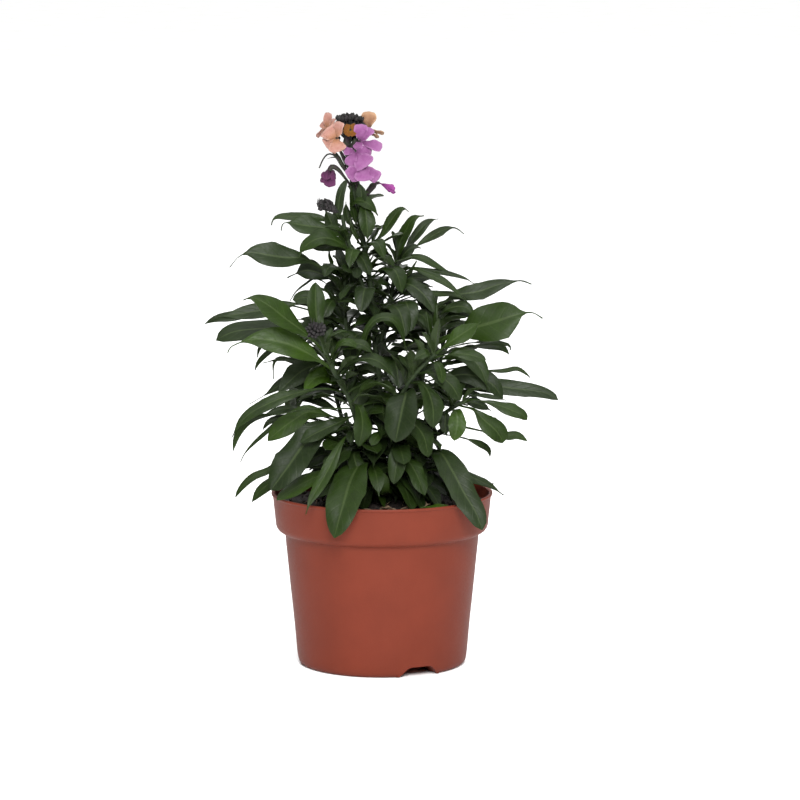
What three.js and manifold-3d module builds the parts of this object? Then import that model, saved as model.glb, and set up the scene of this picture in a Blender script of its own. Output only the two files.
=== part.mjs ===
// A wallflower growing in a round plastic nursery pot, in millimetres with +Z up.
// The origin is the centre of the pot's underside, and the front of the plant faces -Y.
// Every leaf, flower and side stem is its own closed solid, seated SEAT_GAP off what carries it.
import * as THREE from "three";
import { mergeVertices } from "three/addons/utils/BufferGeometryUtils.js";
import Module from "manifold-3d";

const wasm = await Module();
wasm.setup();
const DEG = Math.PI / 180;
const UP = new THREE.Vector3(0, 0, 1);

// Pot: a thin stepped wall with a deep collar, a flat foot and three raised drain channels.
const POT_HEIGHT = 102;
const RIM_R = 65; // outside of the lip
const COLLAR_TOP_R = 64.2;
const COLLAR_LOW_R = 62.3;
const COLLAR_LOW_Z = 83;
const COLLAR_ROUND = 4;
const NECK_R = 57; // body wall just under the collar
const NECK_Z = 78.8;
const LIP_HEIGHT = 1.4;
const LIP_ROUND = 0.4;
const LIP_ROOT = 0.6; // slope under the lip
const ARC_STEPS = 4;
const INNER_ARC_STEPS = 3;
const FOOT_R = 45.7; // flat part of the underside
const FOOT_ROUND = 4;
const WALL = 1.4;
const FLOOR = 1.6;
const POT_SIDES = 48;
const BODY_SLOPE = (NECK_R - FOOT_R - FOOT_ROUND) / (NECK_Z - FOOT_ROUND);

const CHANNEL_COUNT = 3;
const FIRST_CHANNEL_DEG = 27; // measured from the front towards +X
const CHANNEL_HEIGHT = 6;
const CHANNEL_FOOT_HALF = 13.5;
const CHANNEL_TOP_HALF = 7;
const CHANNEL_START = 14; // nearest point to the pot's axis
const CHANNEL_WALL = 1.3;
const CHANNEL_EDGE = 1; // rounding of the upper edges
const CHANNEL_BELOW = 0.5; // how far the cut reaches below the pot
const DRAIN_HOLE_R = 4;
const DRAIN_HOLE_AT = 31;
const DRAIN_HOLE_SIDES = 12;

// Potting soil: it fills the pot to a finger's width under the lip and mounds at the stems.
const SOIL_EDGE_Z = 95;
const SOIL_SLOPE_R = 44;
const SOIL_SLOPE_Z = 95.7;
const SOIL_CROWN_R = 22;
const SOIL_CROWN_Z = 96.6;
const SOIL_MOUND_Z = 97;
const SEAT_GAP = 0.3;
const STEM_SIDES = 8;
const STEM_STATIONS = 12;
const LINE_STEPS = 48;
const POINT_R = 0.25; // a foot that is thinned to meet a skin
const STEM_ROOT_Z = 80; // how deep the stems go into the soil
const STEM_CLEAR_Z = 99; // they leave the soil straight up

const PETAL_CLAW = 0.12; // shares of the petal's length
const PETAL_HALF = 0.46;
const PETAL_CUP_DEG = 10;
const CALYX_SIDES = 8;
const STALK_SIDES = 6;
const STALK_STATIONS = 4;
const HANGING_SIDES = 8;
const HANGING_STATIONS = 10;
const HEAD_SIDES = 10;

const COLOURS = {
  pot: 0x965041,
  soil: 0x2a1d18,
  stem: 0x464a3a,
  leaf: 0x3a4b2c,
  youngLeaf: 0x55663f,
  apricot: 0xc59474,
  orange: 0xa8600f,
  mauve: 0xbf78b6,
  plum: 0x6b2f60,
  bud: 0x423f3c,
};

// Stems: centreline points and the radius at the foot and at the tip.
// A stem with `from` is a side branch, and starts on the skin of that stem at that height.
const rooted = (x, y) => [[x, y, STEM_ROOT_Z], [x, y, STEM_CLEAR_Z]];
const STEMS = {
  main_stem: {
    points: [
      ...rooted(0, 0), [0, 1, 135], [-3, 2, 180], [-7, 2, 226],
      [-12, 1, 256], [-17, 0, 284], [-19, 0, 306],
    ],
    radii: [2.6, 1.6],
  },
  left_stem: {
    points: [...rooted(-7, 1), [-13, 3, 140], [-19, 4, 180], [-22, 4, 215], [-21, 3, 234]],
    radii: [2.0, 1.3],
  },
  left_front_stem: {
    points: [
      ...rooted(-3, -8), [-10, -20, 128], [-18, -34, 160],
      [-25, -40, 174], [-31, -44, 187], [-36, -47, 200],
    ],
    radii: [2.0, 1.4],
  },
  left_low_stem: {
    points: [...rooted(-9, -5), [-14, -13, 118], [-19, -20, 142], [-21, -23, 152]],
    radii: [1.8, 1.2],
  },
  right_front_stem: {
    points: [...rooted(4, -8), [5, -20, 132], [10, -31, 160], [20, -40, 178], [31, -46, 190]],
    radii: [1.9, 1.3],
  },
  right_low_stem: {
    points: [...rooted(10, -4), [19, -12, 122], [29, -18, 144], [41, -23, 155], [51, -25, 160]],
    radii: [1.9, 1.3],
  },
  right_stem: {
    points: [...rooted(8, 2), [16, 1, 130], [23, -3, 165], [28, -4, 195], [30, -4, 217]],
    radii: [2.0, 1.2],
  },
  back_left_stem: {
    points: [...rooted(-6, 7), [-20, 22, 130], [-30, 33, 165], [-34, 38, 192]],
    radii: [1.9, 1.2],
  },
  back_right_stem: {
    points: [...rooted(7, 8), [24, 22, 135], [34, 30, 172], [38, 32, 200]],
    radii: [1.9, 1.2],
  },
  back_stem: {
    points: [...rooted(0, 10), [2, 28, 135], [2, 36, 172], [0, 38, 208]],
    radii: [1.9, 1.2],
  },
  left_bud_stem: {
    from: ["main_stem", 208],
    points: [[-12, -3, 226], [-17, -5, 243], [-21, -6, 255], [-23, -6, 266]],
    radii: [1.6, 1.3],
  },
  upper_right_stem: {
    from: ["main_stem", 182],
    points: [[3, 6, 205], [7, 7, 226], [9, 6, 243]],
    radii: [1.6, 1.2],
  },
};

// Leaves: the stem and height each grows from, the points its midrib passes after that, its width,
// and how far its blade is rolled about the midrib from lying face up, by the right-hand rule.
const LEAVES = {
  left_leaf_1: {
    on: ["left_stem", 228],
    points: [
      [-33, -1, 234.1], [-45.9, -4, 240.9], [-56.8, -6, 241.6], [-66.8, -8, 243.2],
      [-75.7, -8, 244.4], [-82.7, -9, 242.3], [-88.6, -10, 235.6],
    ],
    width: 15,
    roll: -65,
  },
  left_leaf_2: {
    on: ["left_bud_stem", 249],
    points: [
      [-29.9, -9, 259.5], [-37.8, -10, 260.4], [-45.8, -11, 260.7], [-51.7, -12, 261.8],
      [-56.2, -12, 262.5], [-58.7, -12, 260.8], [-59.4, -12, 256.8],
    ],
    width: 11,
    roll: -60,
  },
  left_leaf_3: {
    on: ["left_stem", 200],
    points: [
      [-43.9, -3, 212.9], [-55.8, -6, 213.6], [-66.8, -8, 210.5], [-79.7, -9, 207.8],
      [-89.6, -10, 206.9], [-96.6, -10, 206.3], [-101.3, -10, 203.3],
    ],
    width: 12,
    roll: -60,
  },
  left_leaf_4: {
    on: ["left_stem", 190],
    points: [
      [-39.7, -14, 200.9], [-56.4, -23, 203], [-70.2, -25, 201.9],
      [-83.1, -25, 199], [-90, -25, 197.4], [-95.3, -25, 194.6],
    ],
    width: 12,
    roll: -55,
  },
  left_leaf_5: {
    on: ["left_front_stem", 190],
    points: [
      [-43.9, -53, 203.1], [-54.5, -58, 211.6], [-63.2, -61, 219.1],
      [-70, -62, 223.3], [-74.9, -63, 224.5], [-78.8, -63, 223.2],
    ],
    width: 14,
    roll: -70,
  },
  left_leaf_6: {
    on: ["left_front_stem", 180],
    points: [
      [-40.1, -47, 189.1], [-49.8, -49, 194.5], [-58.6, -50, 197.5], [-68.5, -50, 199],
      [-76.3, -51, 198.7], [-82.1, -51, 196.9], [-86.6, -51, 194.3], [-88.3, -51, 191],
    ],
    width: 16,
    roll: -65,
  },
  left_leaf_7: {
    on: ["left_stem", 168],
    points: [[-33.9, -4, 176.1], [-43.8, -10, 173.9], [-53.7, -14, 165.5], [-61.5, -17, 158]],
    width: 14,
    roll: -55,
  },
  left_leaf_8: {
    on: ["left_front_stem", 166],
    points: [
      [-34.3, -42, 168.6], [-51.8, -48, 165.9], [-66, -51, 160.8],
      [-76.2, -52, 155.5], [-83.1, -52, 149], [-86.7, -52, 142.2],
    ],
    width: 9,
    roll: -50,
  },
  left_leaf_9: {
    on: ["left_low_stem", 149],
    points: [[-30.5, -31, 147], [-42.5, -37, 135], [-52.5, -41, 122], [-63, -44, 110]],
    width: 19.5,
    roll: -45,
  },
  left_leaf_10: {
    on: ["left_low_stem", 136],
    points: [
      [-37.7, -16, 137], [-55.5, -20, 126.7], [-65.4, -21, 117.1], [-74.3, -22, 113.6],
      [-79.2, -22, 109.7], [-82.9, -22, 105.7], [-85.2, -22, 102.3],
    ],
    width: 5.5,
    roll: -45,
  },
  left_leaf_11: {
    on: ["left_low_stem", 108],
    points: [[-30, -21, 116], [-45, -29, 112], [-61, -36, 103]],
    width: 13,
    roll: -25,
  },
  front_leaf_1: {
    on: ["left_front_stem", 144],
    points: [[-22, -44, 140], [-29.5, -53, 126], [-36, -59, 115], [-41, -63, 106.5], [-43.5, -65, 99.5]],
    width: 8,
    roll: -25,
  },
  front_leaf_2: {
    on: ["left_front_stem", 118],
    points: [[-12, -38, 125], [-18, -54, 117], [-22, -66, 105], [-25, -71, 95], [-27, -72, 87]],
    width: 22,
    roll: 0,
  },
  front_leaf_3: {
    on: ["right_front_stem", 158],
    points: [[14, -42, 167], [12, -51, 159], [10, -55, 150], [8, -56, 140]],
    width: 20,
    roll: 0,
  },
  right_leaf_1: {
    on: ["right_low_stem", 117],
    points: [[33.5, -30, 131.1], [43.4, -43, 123.6], [49.2, -50, 110.5], [54.6, -55, 99.1], [58, -57, 89]],
    width: 17,
    roll: 20,
  },
  right_leaf_2: {
    on: ["right_low_stem", 123],
    points: [
      [35.9, -12, 121], [47.8, -12, 114.3], [57.7, -14, 109.8],
      [64.7, -15, 106.8], [71.4, -15, 102.4],
    ],
    width: 5,
    roll: 30,
  },
  right_leaf_3: {
    on: ["right_stem", 164],
    points: [
      [41.9, -8, 167.2], [54.8, -9, 166.5], [67.8, -10, 165.2], [79.7, -11, 163.6],
      [87.7, -11, 162.9], [94.6, -11, 161.6], [99.6, -11, 159.9], [102.9, -12, 157.8],
    ],
    width: 9.5,
    roll: 60,
  },
  right_leaf_4: {
    on: ["right_stem", 188],
    points: [
      [41.9, -12, 196.6], [55.2, -18, 201.4], [66, -21, 205], [75, -22, 208.1],
      [81.9, -22, 209.8], [87.3, -22, 210.6], [93.3, -22, 207.2],
    ],
    width: 24,
    roll: 68,
  },
  right_leaf_5: {
    on: ["right_stem", 211],
    points: [
      [44, -3, 219.2], [51.9, -4, 220.5], [57.9, -4, 221.5], [63.9, -4, 223.7],
      [69.9, -4, 225.7], [75.9, -4, 226.8], [81.9, -4, 227], [87.4, -4, 225.1],
    ],
    width: 11,
    roll: 65,
  },
  right_leaf_6: {
    on: ["right_low_stem", 157],
    points: [
      [55, -31, 154.2], [60.3, -34, 148.7], [65.7, -35, 143.5],
      [68.7, -35, 139], [69.7, -35, 136.1],
    ],
    width: 12,
    roll: 40,
  },
  right_leaf_7: {
    on: ["right_low_stem", 147],
    points: [[49.8, -15, 142.6], [63.2, -17, 139.5], [73.1, -18, 137.4], [79, -18, 138], [85, -18, 134.6]],
    width: 5,
    roll: 50,
  },
  right_leaf_8: {
    on: ["upper_right_stem", 226],
    points: [
      [18, -4, 233.8], [24.9, -10, 231.7], [30.9, -13, 229.3],
      [36.8, -15, 226.3], [42.8, -17, 222.6], [48.7, -18, 217.3],
    ],
    width: 6,
    roll: 40,
  },
  right_leaf_9: {
    on: ["upper_right_stem", 238],
    points: [
      [20, 6, 245.3], [28, 7, 250.4], [33.1, 7, 253.5], [38.1, 7, 256.4],
      [42.1, 7, 256.8], [45.1, 7, 255.4], [48.1, 7, 253.4],
    ],
    width: 7,
    roll: 50,
  },
  top_leaf_1: {
    on: ["main_stem", 246],
    points: [[-1.5, 3, 252.2], [4.5, 4, 260.9], [9.5, 4, 266.8], [13, 4, 267.9], [15.5, 4, 265.9]],
    width: 6.5,
    roll: 50,
  },
  top_leaf_2: {
    on: ["main_stem", 271],
    points: [[-11, -7, 273], [-9, -12, 265], [-8, -14, 251]],
    width: 10,
    roll: 0,
  },
  top_leaf_3: {
    on: ["upper_right_stem", 230],
    points: [[10.5, -2, 247.2], [15, -4, 256.6], [18.7, -5, 262.7], [24.5, -5, 265.2]],
    width: 8,
    roll: 60,
  },
  back_leaf_1: {
    on: ["back_left_stem", 188],
    points: [[-44, 50, 190], [-52, 62, 192], [-58, 72, 182]],
    width: 13,
    roll: 20,
  },
  back_leaf_2: {
    on: ["back_left_stem", 160],
    points: [[-40, 50, 160], [-50, 66, 152], [-56, 76, 136]],
    width: 14,
    roll: 10,
  },
  back_leaf_3: {
    on: ["back_stem", 204],
    points: [[-3, 54, 214], [-8, 70, 212], [-11, 82, 198]],
    width: 13,
    roll: 0,
  },
  back_leaf_4: {
    on: ["back_stem", 162],
    points: [[7, 56, 168], [14, 74, 160], [18, 88, 142]],
    width: 15,
    roll: -10,
  },
  back_leaf_5: {
    on: ["back_right_stem", 196],
    points: [[48, 44, 200], [60, 56, 199], [70, 64, 190]],
    width: 13,
    roll: -15,
  },
  back_leaf_6: {
    on: ["back_stem", 118],
    points: [[-3, 44, 124], [-8, 62, 114], [-11, 78, 98]],
    width: 16,
    roll: 0,
  },
};
const LEAF_MIDRIB = 0.9; // thickness of a leaf at its midrib
const LEAF_STATIONS = 9;

// Open flowers: the height on the main stem, the flower's centre, the way it faces, its petals'
// length and how far they are turned about the flower's axis.
const FLOWERS = {
  flower_1: {
    on: 296,
    centre: [-27, -11, 313],
    faces: [-0.35, -0.9, 0.1],
    petal: 9,
    turn: 25,
    colour: "apricot",
  },
  flower_2: {
    on: 299,
    centre: [-30, 7, 316],
    faces: [-0.8, 0.4, 0.4],
    petal: 8,
    turn: 40,
    colour: "apricot",
  },
  flower_3: {
    on: 301,
    centre: [-18, -11, 313],
    faces: [0.05, -0.85, 0.5],
    petal: 3.6,
    turn: 45,
    colour: "orange",
  },
  flower_4: {
    on: 298,
    centre: [-7, 5, 315],
    faces: [0.7, 0.5, 0.45],
    petal: 9,
    turn: 30,
    colour: "apricot",
  },
  flower_5: {
    on: 290,
    centre: [-9, -9, 311],
    faces: [0.5, -0.85, 0.1],
    petal: 8,
    turn: 0,
    colour: "mauve",
  },
  flower_6: {
    on: 283,
    centre: [-14, -15, 299],
    faces: [-0.1, -0.95, 0.0],
    petal: 7.5,
    turn: 45,
    colour: "mauve",
  },
  flower_7: {
    on: 277,
    centre: [-10, -10, 289],
    faces: [0.25, -0.8, -0.5],
    petal: 8.5,
    turn: 5,
    colour: "mauve",
  },
};
const PETAL_THICK = 0.7;
const CALYX_R = 1.5;
const CALYX_LENGTH = 6;
const PEDICEL_R = 0.7;

// Closed, drooping or faded flowers and the seed pod: a line from the stem, and radii along it.
const HANGING = {
  drooping_bud: {
    on: ["main_stem", 280],
    points: [[-24, -3, 289], [-29, -4, 294], [-31, -4, 291], [-31, -4, 283]],
    radii: [0.3, 0.7, 1.0, 4.0, 4.4, 2.2],
    colour: "plum",
  },
  faded_flower: {
    on: ["main_stem", 270],
    points: [[-9, 2, 278], [-4, 2, 283], [1, 1, 283], [7, 0, 279]],
    radii: [0.3, 1.4, 1.8, 2.0, 2.9, 1.2],
    colour: "mauve",
  },
  seed_pod: {
    on: ["main_stem", 284],
    points: [[-22, 4, 295], [-28, 6, 302], [-32, 6, 301], [-36, 6, 293]],
    radii: [0.3, 0.7, 0.7, 0.6, 0.6, 0.4],
    colour: "stem",
  },
};

// Bud heads and the young shoot: turned knobs on a stem's tip, with their axis, radius and length.
const HEADS = {
  top_bud_head: { on: "main_stem", axis: [0, 0, 1], radius: 7.5, length: 17, colour: "bud" },
  left_bud_head: { on: "left_bud_stem", axis: [-0.92, -0.05, 0.42], radius: 3.6, length: 14, colour: "bud" },
  front_bud_head: { on: "left_front_stem", axis: [-0.2, -0.3, 0.93], radius: 5, length: 9, colour: "bud" },
  young_shoot_tip: { on: "right_front_stem", axis: [0, 0, 1], radius: 3.4, length: 28, colour: "youngLeaf" },
};

const v3 = (p) => new THREE.Vector3(...p);

// A geometry as a manifold-3d solid, and back.
function solid(geometry) {
  const bare = geometry.index ? geometry.toNonIndexed() : geometry.clone();
  bare.deleteAttribute("normal");
  bare.deleteAttribute("uv");
  const merged = mergeVertices(bare, 1e-3);
  return new wasm.Manifold(
    new wasm.Mesh({
      numProp: 3,
      vertProperties: merged.attributes.position.array,
      triVerts: new Uint32Array(merged.index.array),
    }),
  );
}

function geometryOf(made) {
  const mesh = made.getMesh();
  const geometry = new THREE.BufferGeometry();
  geometry.setAttribute("position", new THREE.BufferAttribute(mesh.vertProperties, 3));
  geometry.setIndex(new THREE.BufferAttribute(mesh.triVerts, 1));
  const flat = geometry.toNonIndexed();
  flat.computeVertexNormals();
  return flat;
}

// A smooth line through points, with a frame at each step that never spins about the line.
// The frame's normal is as near to up as it can be half way along, and is then rolled.
function framedLine(points, roll = 0, steps = LINE_STEPS) {
  const curve = new THREE.CatmullRomCurve3(points.map(v3), false, "centripetal");
  const frames = [];
  for (let i = 0; i <= steps; i++) {
    frames.push({ at: curve.getPointAt(i / steps), along: curve.getTangentAt(i / steps) });
  }
  const middle = steps / 2;
  const start = frames[middle].along;
  const normal = UP.clone().addScaledVector(start, -UP.dot(start)).normalize();
  frames[middle].normal = normal.applyAxisAngle(start, roll * DEG);
  const carry = (from, to) => {
    const turn = new THREE.Quaternion().setFromUnitVectors(from.along, to.along);
    to.normal = from.normal.clone().applyQuaternion(turn);
  };
  for (let i = middle; i < steps; i++) carry(frames[i], frames[i + 1]);
  for (let i = middle; i > 0; i--) carry(frames[i], frames[i - 1]);
  for (const f of frames) f.side = f.normal.clone().cross(f.along);
  return frames;
}

// Lays a shape modelled along +Z from 0 to 1 onto a line: its X goes across and its Y to the normal.
function layAlong(geometry, frames) {
  const position = geometry.attributes.position;
  const steps = frames.length - 1;
  for (let i = 0; i < position.count; i++) {
    const u = Math.min(Math.max(position.getZ(i), 0), 1) * steps;
    const low = Math.min(Math.floor(u), steps - 1);
    const [a, b, mix] = [frames[low], frames[low + 1], u - low];
    const p = a.at.clone().lerp(b.at, mix);
    p.addScaledVector(a.side.clone().lerp(b.side, mix).normalize(), position.getX(i));
    p.addScaledVector(a.normal.clone().lerp(b.normal, mix).normalize(), position.getY(i));
    position.setXYZ(i, p.x, p.y, p.z);
  }
  return geometry;
}

// A round bar from 0 to 1 along +Z, with its radius given by a function of the share along it.
function bar(radiusAt, sides, stations) {
  const geometry = new THREE.CylinderGeometry(1, 1, 1, sides, stations);
  geometry.rotateX(Math.PI / 2).translate(0, 0, 0.5);
  const position = geometry.attributes.position;
  for (let i = 0; i < position.count; i++) {
    const r = radiusAt(position.getZ(i));
    position.setXY(i, position.getX(i) * r, position.getY(i) * r);
  }
  return geometry;
}

// Linear interpolation in a list of evenly spaced values.
function readList(values, share) {
  const u = share * (values.length - 1);
  const low = Math.min(Math.floor(u), values.length - 2);
  return values[low] + (values[low + 1] - values[low]) * (u - low);
}

// Where something grows from a stem at a height: on the stem's skin, on the side that faces `towards`.
function seatOn(stemLine, height, towards) {
  const { frames, radii } = stemLine;
  const off = (f) => Math.abs(f.at.z - height);
  const nearest = frames.reduce((best, f, i) => (off(f) < off(frames[best]) ? i : best), 0);
  const { at, along } = frames[nearest];
  const out = v3(towards).sub(at);
  out.addScaledVector(along, -out.dot(along)).normalize();
  const radius = radii[0] + (radii[1] - radii[0]) * (nearest / (frames.length - 1));
  return at.clone().addScaledVector(out, radius + SEAT_GAP).toArray();
}

function stemLines() {
  const lines = {};
  for (const [name, { from, points, radii }] of Object.entries(STEMS)) {
    const start = from ? [seatOn(lines[from[0]], from[1], points[0])] : [];
    lines[name] = { frames: framedLine([...start, ...points]), radii };
  }
  return lines;
}

// A side branch is thinned to a point where it leaves its stem, so that it only meets the skin.
function stem(name, line) {
  const [foot, tip] = line.radii;
  const isBranch = Boolean(STEMS[name].from);
  const radiusAt = (u) => (isBranch && u < 1e-6 ? POINT_R : foot + (tip - foot) * u);
  return layAlong(bar(radiusAt, STEM_SIDES, STEM_STATIONS), line.frames);
}

// The hole that a rooted stem stands in: the stem itself, grown by the seat gap all round.
function stemHole({ points, radii: [foot, tip] }) {
  const [[x, y, z], ...rest] = points;
  const radiusAt = (u) => foot + (tip - foot) * u + SEAT_GAP;
  const line = framedLine([[x, y, z - SEAT_GAP], ...rest]);
  return solid(layAlong(bar(radiusAt, STEM_SIDES, STEM_STATIONS), line));
}

// How wide a leaf is along its length: a long narrow foot, widest past the middle, a pointed tip.
const leafOutline = (u) => Math.sin(Math.PI * u ** 1.35) ** 0.9 * (0.72 + 0.28 * u);

// A leaf is a four-sided spindle flattened to its blade: two edges, a ridge over and one under.
function leaf({ on, points, width, roll }, lines) {
  const geometry = new THREE.SphereGeometry(1, 4, LEAF_STATIONS).rotateX(Math.PI / 2);
  const position = geometry.attributes.position;
  for (let i = 0; i < position.count; i++) {
    const z = THREE.MathUtils.clamp(position.getZ(i), -1, 1);
    const u = Math.acos(-z) / Math.PI;
    const ring = Math.sqrt(Math.max(1 - z * z, 0)) || 1;
    const across = (position.getX(i) / ring) * (width / 2) * leafOutline(u);
    const thick = (position.getY(i) / ring) * (LEAF_MIDRIB / 2) * Math.sin(Math.PI * u) ** 0.4;
    const atEnd = Math.abs(z) > 1 - 1e-9;
    position.setXYZ(i, atEnd ? 0 : across, atEnd ? 0 : thick, u);
  }
  const start = seatOn(lines[on[0]], on[1], points[0]);
  return layAlong(geometry, framedLine([start, ...points], roll));
}

// A turn that takes +Z to a direction, with a spin about it first.
function facing(direction, spin = 0) {
  const turn = new THREE.Quaternion().setFromUnitVectors(UP, v3(direction).normalize());
  return turn.multiply(new THREE.Quaternion().setFromAxisAngle(UP, spin * DEG));
}

function petalShape(length) {
  const claw = length * PETAL_CLAW;
  const half = length * PETAL_HALF;
  const shape = new THREE.Shape();
  shape.moveTo(0, -claw);
  const shoulder = half * 1.3;
  const near = length * 0.4;
  shape.bezierCurveTo(near, -shoulder, length, -half, length, 0);
  shape.bezierCurveTo(length, half, near, shoulder, 0, claw);
  return shape;
}

// A flower is one grown piece: four petals in a cross on a calyx, and a stalk down to the stem.
function flower({ on, centre, faces, petal, turn }, lines) {
  const upright = facing(faces);
  const foot = v3(faces).normalize().multiplyScalar(-CALYX_LENGTH).add(v3(centre));
  let whole = solid(
    bar((u) => CALYX_R * (0.7 + 0.3 * u), CALYX_SIDES, 2)
      .scale(1, 1, CALYX_LENGTH + PETAL_THICK / 2)
      .applyQuaternion(upright)
      .translate(...foot.toArray()),
  );
  for (let i = 0; i < 4; i++) {
    const blade = new THREE.ExtrudeGeometry(petalShape(petal), {
      depth: PETAL_THICK,
      bevelEnabled: false,
      curveSegments: 4,
    });
    blade.translate(0, 0, -PETAL_THICK / 2).rotateY(-PETAL_CUP_DEG * DEG);
    blade.applyQuaternion(facing(faces, turn + 90 * i)).translate(...centre);
    whole = whole.add(solid(blade));
  }
  const seat = seatOn(lines.main_stem, on, foot.toArray());
  const inside = foot.clone().lerp(v3(centre), 0.25).toArray();
  const stalkBar = bar((u) => (u < 1e-6 ? POINT_R : PEDICEL_R), STALK_SIDES, STALK_STATIONS);
  const stalk = layAlong(stalkBar, framedLine([seat, foot.toArray(), inside]));
  return geometryOf(whole.add(solid(stalk)));
}

function hanging({ on, points, radii }, lines) {
  const seat = seatOn(lines[on[0]], on[1], points[0]);
  const radiusAt = (u) => readList(radii, u);
  return layAlong(bar(radiusAt, HANGING_SIDES, HANGING_STATIONS), framedLine([seat, ...points]));
}

// A knob turned on its axis, standing SEAT_GAP off the stem's tip.
function head({ on, axis, radius, length }, lines) {
  const profile = [[0, 0], [1, 0.02], [radius * 0.55, 0.25], [radius, 0.6], [radius * 0.7, 0.9], [0, 1]];
  const outline = profile.map(([r, share]) => new THREE.Vector2(r, share * length));
  const turned = new THREE.LatheGeometry(outline, HEAD_SIDES).rotateX(Math.PI / 2);
  const tip = lines[on].frames.at(-1);
  const foot = tip.at.clone().addScaledVector(tip.along, SEAT_GAP * 2);
  return turned.applyQuaternion(facing(axis)).translate(...foot.toArray());
}

function arc(centreR, centreZ, radius, fromDeg, toDeg, steps = ARC_STEPS) {
  const points = [];
  for (let i = 0; i <= steps; i++) {
    const a = (fromDeg + ((toDeg - fromDeg) * i) / steps) * DEG;
    points.push([centreR + radius * Math.cos(a), centreZ + radius * Math.sin(a)]);
  }
  return points;
}

const turned = (profile) =>
  new THREE.LatheGeometry(profile.map((p) => new THREE.Vector2(...p)), POT_SIDES).rotateX(Math.PI / 2);

const WALL_DEG = Math.atan(BODY_SLOPE) / DEG;

// The pot's outside from the axis to the lip, and the inside a wall's thickness within it.
const outerProfile = () => [
  [0, 0],
  ...arc(FOOT_R, FOOT_ROUND, FOOT_ROUND, -90, -WALL_DEG),
  [NECK_R, NECK_Z],
  ...arc(COLLAR_LOW_R - COLLAR_ROUND, COLLAR_LOW_Z, COLLAR_ROUND, -90, -WALL_DEG),
  [COLLAR_TOP_R, POT_HEIGHT - LIP_HEIGHT - LIP_ROOT],
  [RIM_R, POT_HEIGHT - LIP_HEIGHT],
  [RIM_R, POT_HEIGHT - LIP_ROUND],
  [RIM_R - LIP_ROUND, POT_HEIGHT],
];
const innerProfile = (inset = 0) => [
  [COLLAR_TOP_R - WALL - inset, POT_HEIGHT],
  [COLLAR_TOP_R - WALL - inset, POT_HEIGHT - LIP_HEIGHT - LIP_ROOT],
  ...arc(
    COLLAR_LOW_R - COLLAR_ROUND,
    COLLAR_LOW_Z,
    COLLAR_ROUND - WALL - inset,
    -WALL_DEG,
    -90,
    INNER_ARC_STEPS,
  ),
  [NECK_R - WALL - inset, NECK_Z + WALL / 2 + inset],
  ...arc(FOOT_R, FOOT_ROUND, FOOT_ROUND - WALL - inset, -WALL_DEG, -60, INNER_ARC_STEPS),
  [FOOT_R - inset, FLOOR + inset],
  [0, FLOOR + inset],
];

// One drain channel, grown on every side by `grow`, running out from near the axis at the front.
function channel(index, grow, reach) {
  const foot = CHANNEL_FOOT_HALF + grow * 1.1;
  const top = CHANNEL_TOP_HALF + grow * 0.7;
  const height = CHANNEL_HEIGHT + grow;
  const shape = new THREE.Shape();
  const edge = CHANNEL_EDGE;
  shape.moveTo(-foot, -CHANNEL_BELOW).lineTo(-foot, 0);
  shape.lineTo(-top - edge, height - edge).quadraticCurveTo(-top, height, -top + edge, height);
  shape.lineTo(top - edge, height).quadraticCurveTo(top, height, top + edge, height - edge);
  shape.lineTo(foot, 0).lineTo(foot, -CHANNEL_BELOW);
  const start = CHANNEL_START - grow;
  const prism = new THREE.ExtrudeGeometry(shape, {
    depth: reach - start,
    bevelEnabled: false,
    curveSegments: 2,
  });
  prism.translate(0, 0, start).rotateX(Math.PI / 2);
  return solid(prism.rotateZ((FIRST_CHANNEL_DEG + (index * 360) / CHANNEL_COUNT) * DEG));
}

function pot() {
  let made = solid(turned([...outerProfile(), ...innerProfile()]));
  const envelope = solid(turned([...outerProfile(), [0, POT_HEIGHT]]));
  const block = RIM_R * 3;
  const aboveGround = solid(new THREE.BoxGeometry(block, block, block).translate(0, 0, block / 2));
  for (let i = 0; i < CHANNEL_COUNT; i++) {
    const cover = channel(i, CHANNEL_WALL, NECK_R).intersect(envelope).intersect(aboveGround);
    made = made.add(cover);
  }
  for (let i = 0; i < CHANNEL_COUNT; i++) {
    const angle = (FIRST_CHANNEL_DEG + (i * 360) / CHANNEL_COUNT) * DEG;
    const depth = CHANNEL_HEIGHT * 2;
    const hole = new THREE.CylinderGeometry(DRAIN_HOLE_R, DRAIN_HOLE_R, depth, DRAIN_HOLE_SIDES);
    hole.rotateX(Math.PI / 2);
    hole.translate(DRAIN_HOLE_AT * Math.sin(angle), -DRAIN_HOLE_AT * Math.cos(angle), CHANNEL_HEIGHT);
    made = made.subtract(channel(i, 0, RIM_R)).subtract(solid(hole));
  }
  return geometryOf(made);
}

function pottingSoil() {
  const wallSide = innerProfile(SEAT_GAP).filter(([, z]) => z < SOIL_EDGE_Z);
  const edgeR = COLLAR_LOW_R + (COLLAR_TOP_R - COLLAR_LOW_R) / 2 - WALL - SEAT_GAP;
  const crown = [[0, SOIL_MOUND_Z], [SOIL_CROWN_R, SOIL_CROWN_Z]];
  const slope = [[SOIL_SLOPE_R, SOIL_SLOPE_Z], [edgeR, SOIL_EDGE_Z]];
  let made = solid(turned([...crown, ...slope, ...wallSide].reverse()));
  for (let i = 0; i < CHANNEL_COUNT; i++) made = made.subtract(channel(i, CHANNEL_WALL + SEAT_GAP, NECK_R));
  for (const row of Object.values(STEMS)) if (!row.from) made = made.subtract(stemHole(row));
  return geometryOf(made);
}

function mesh(name, geometry, colour, roughness = 0.6) {
  const material = new THREE.MeshStandardMaterial({ color: COLOURS[colour], roughness, metalness: 0 });
  const made = new THREE.Mesh(geometry, material);
  made.name = name;
  return made;
}

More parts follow.
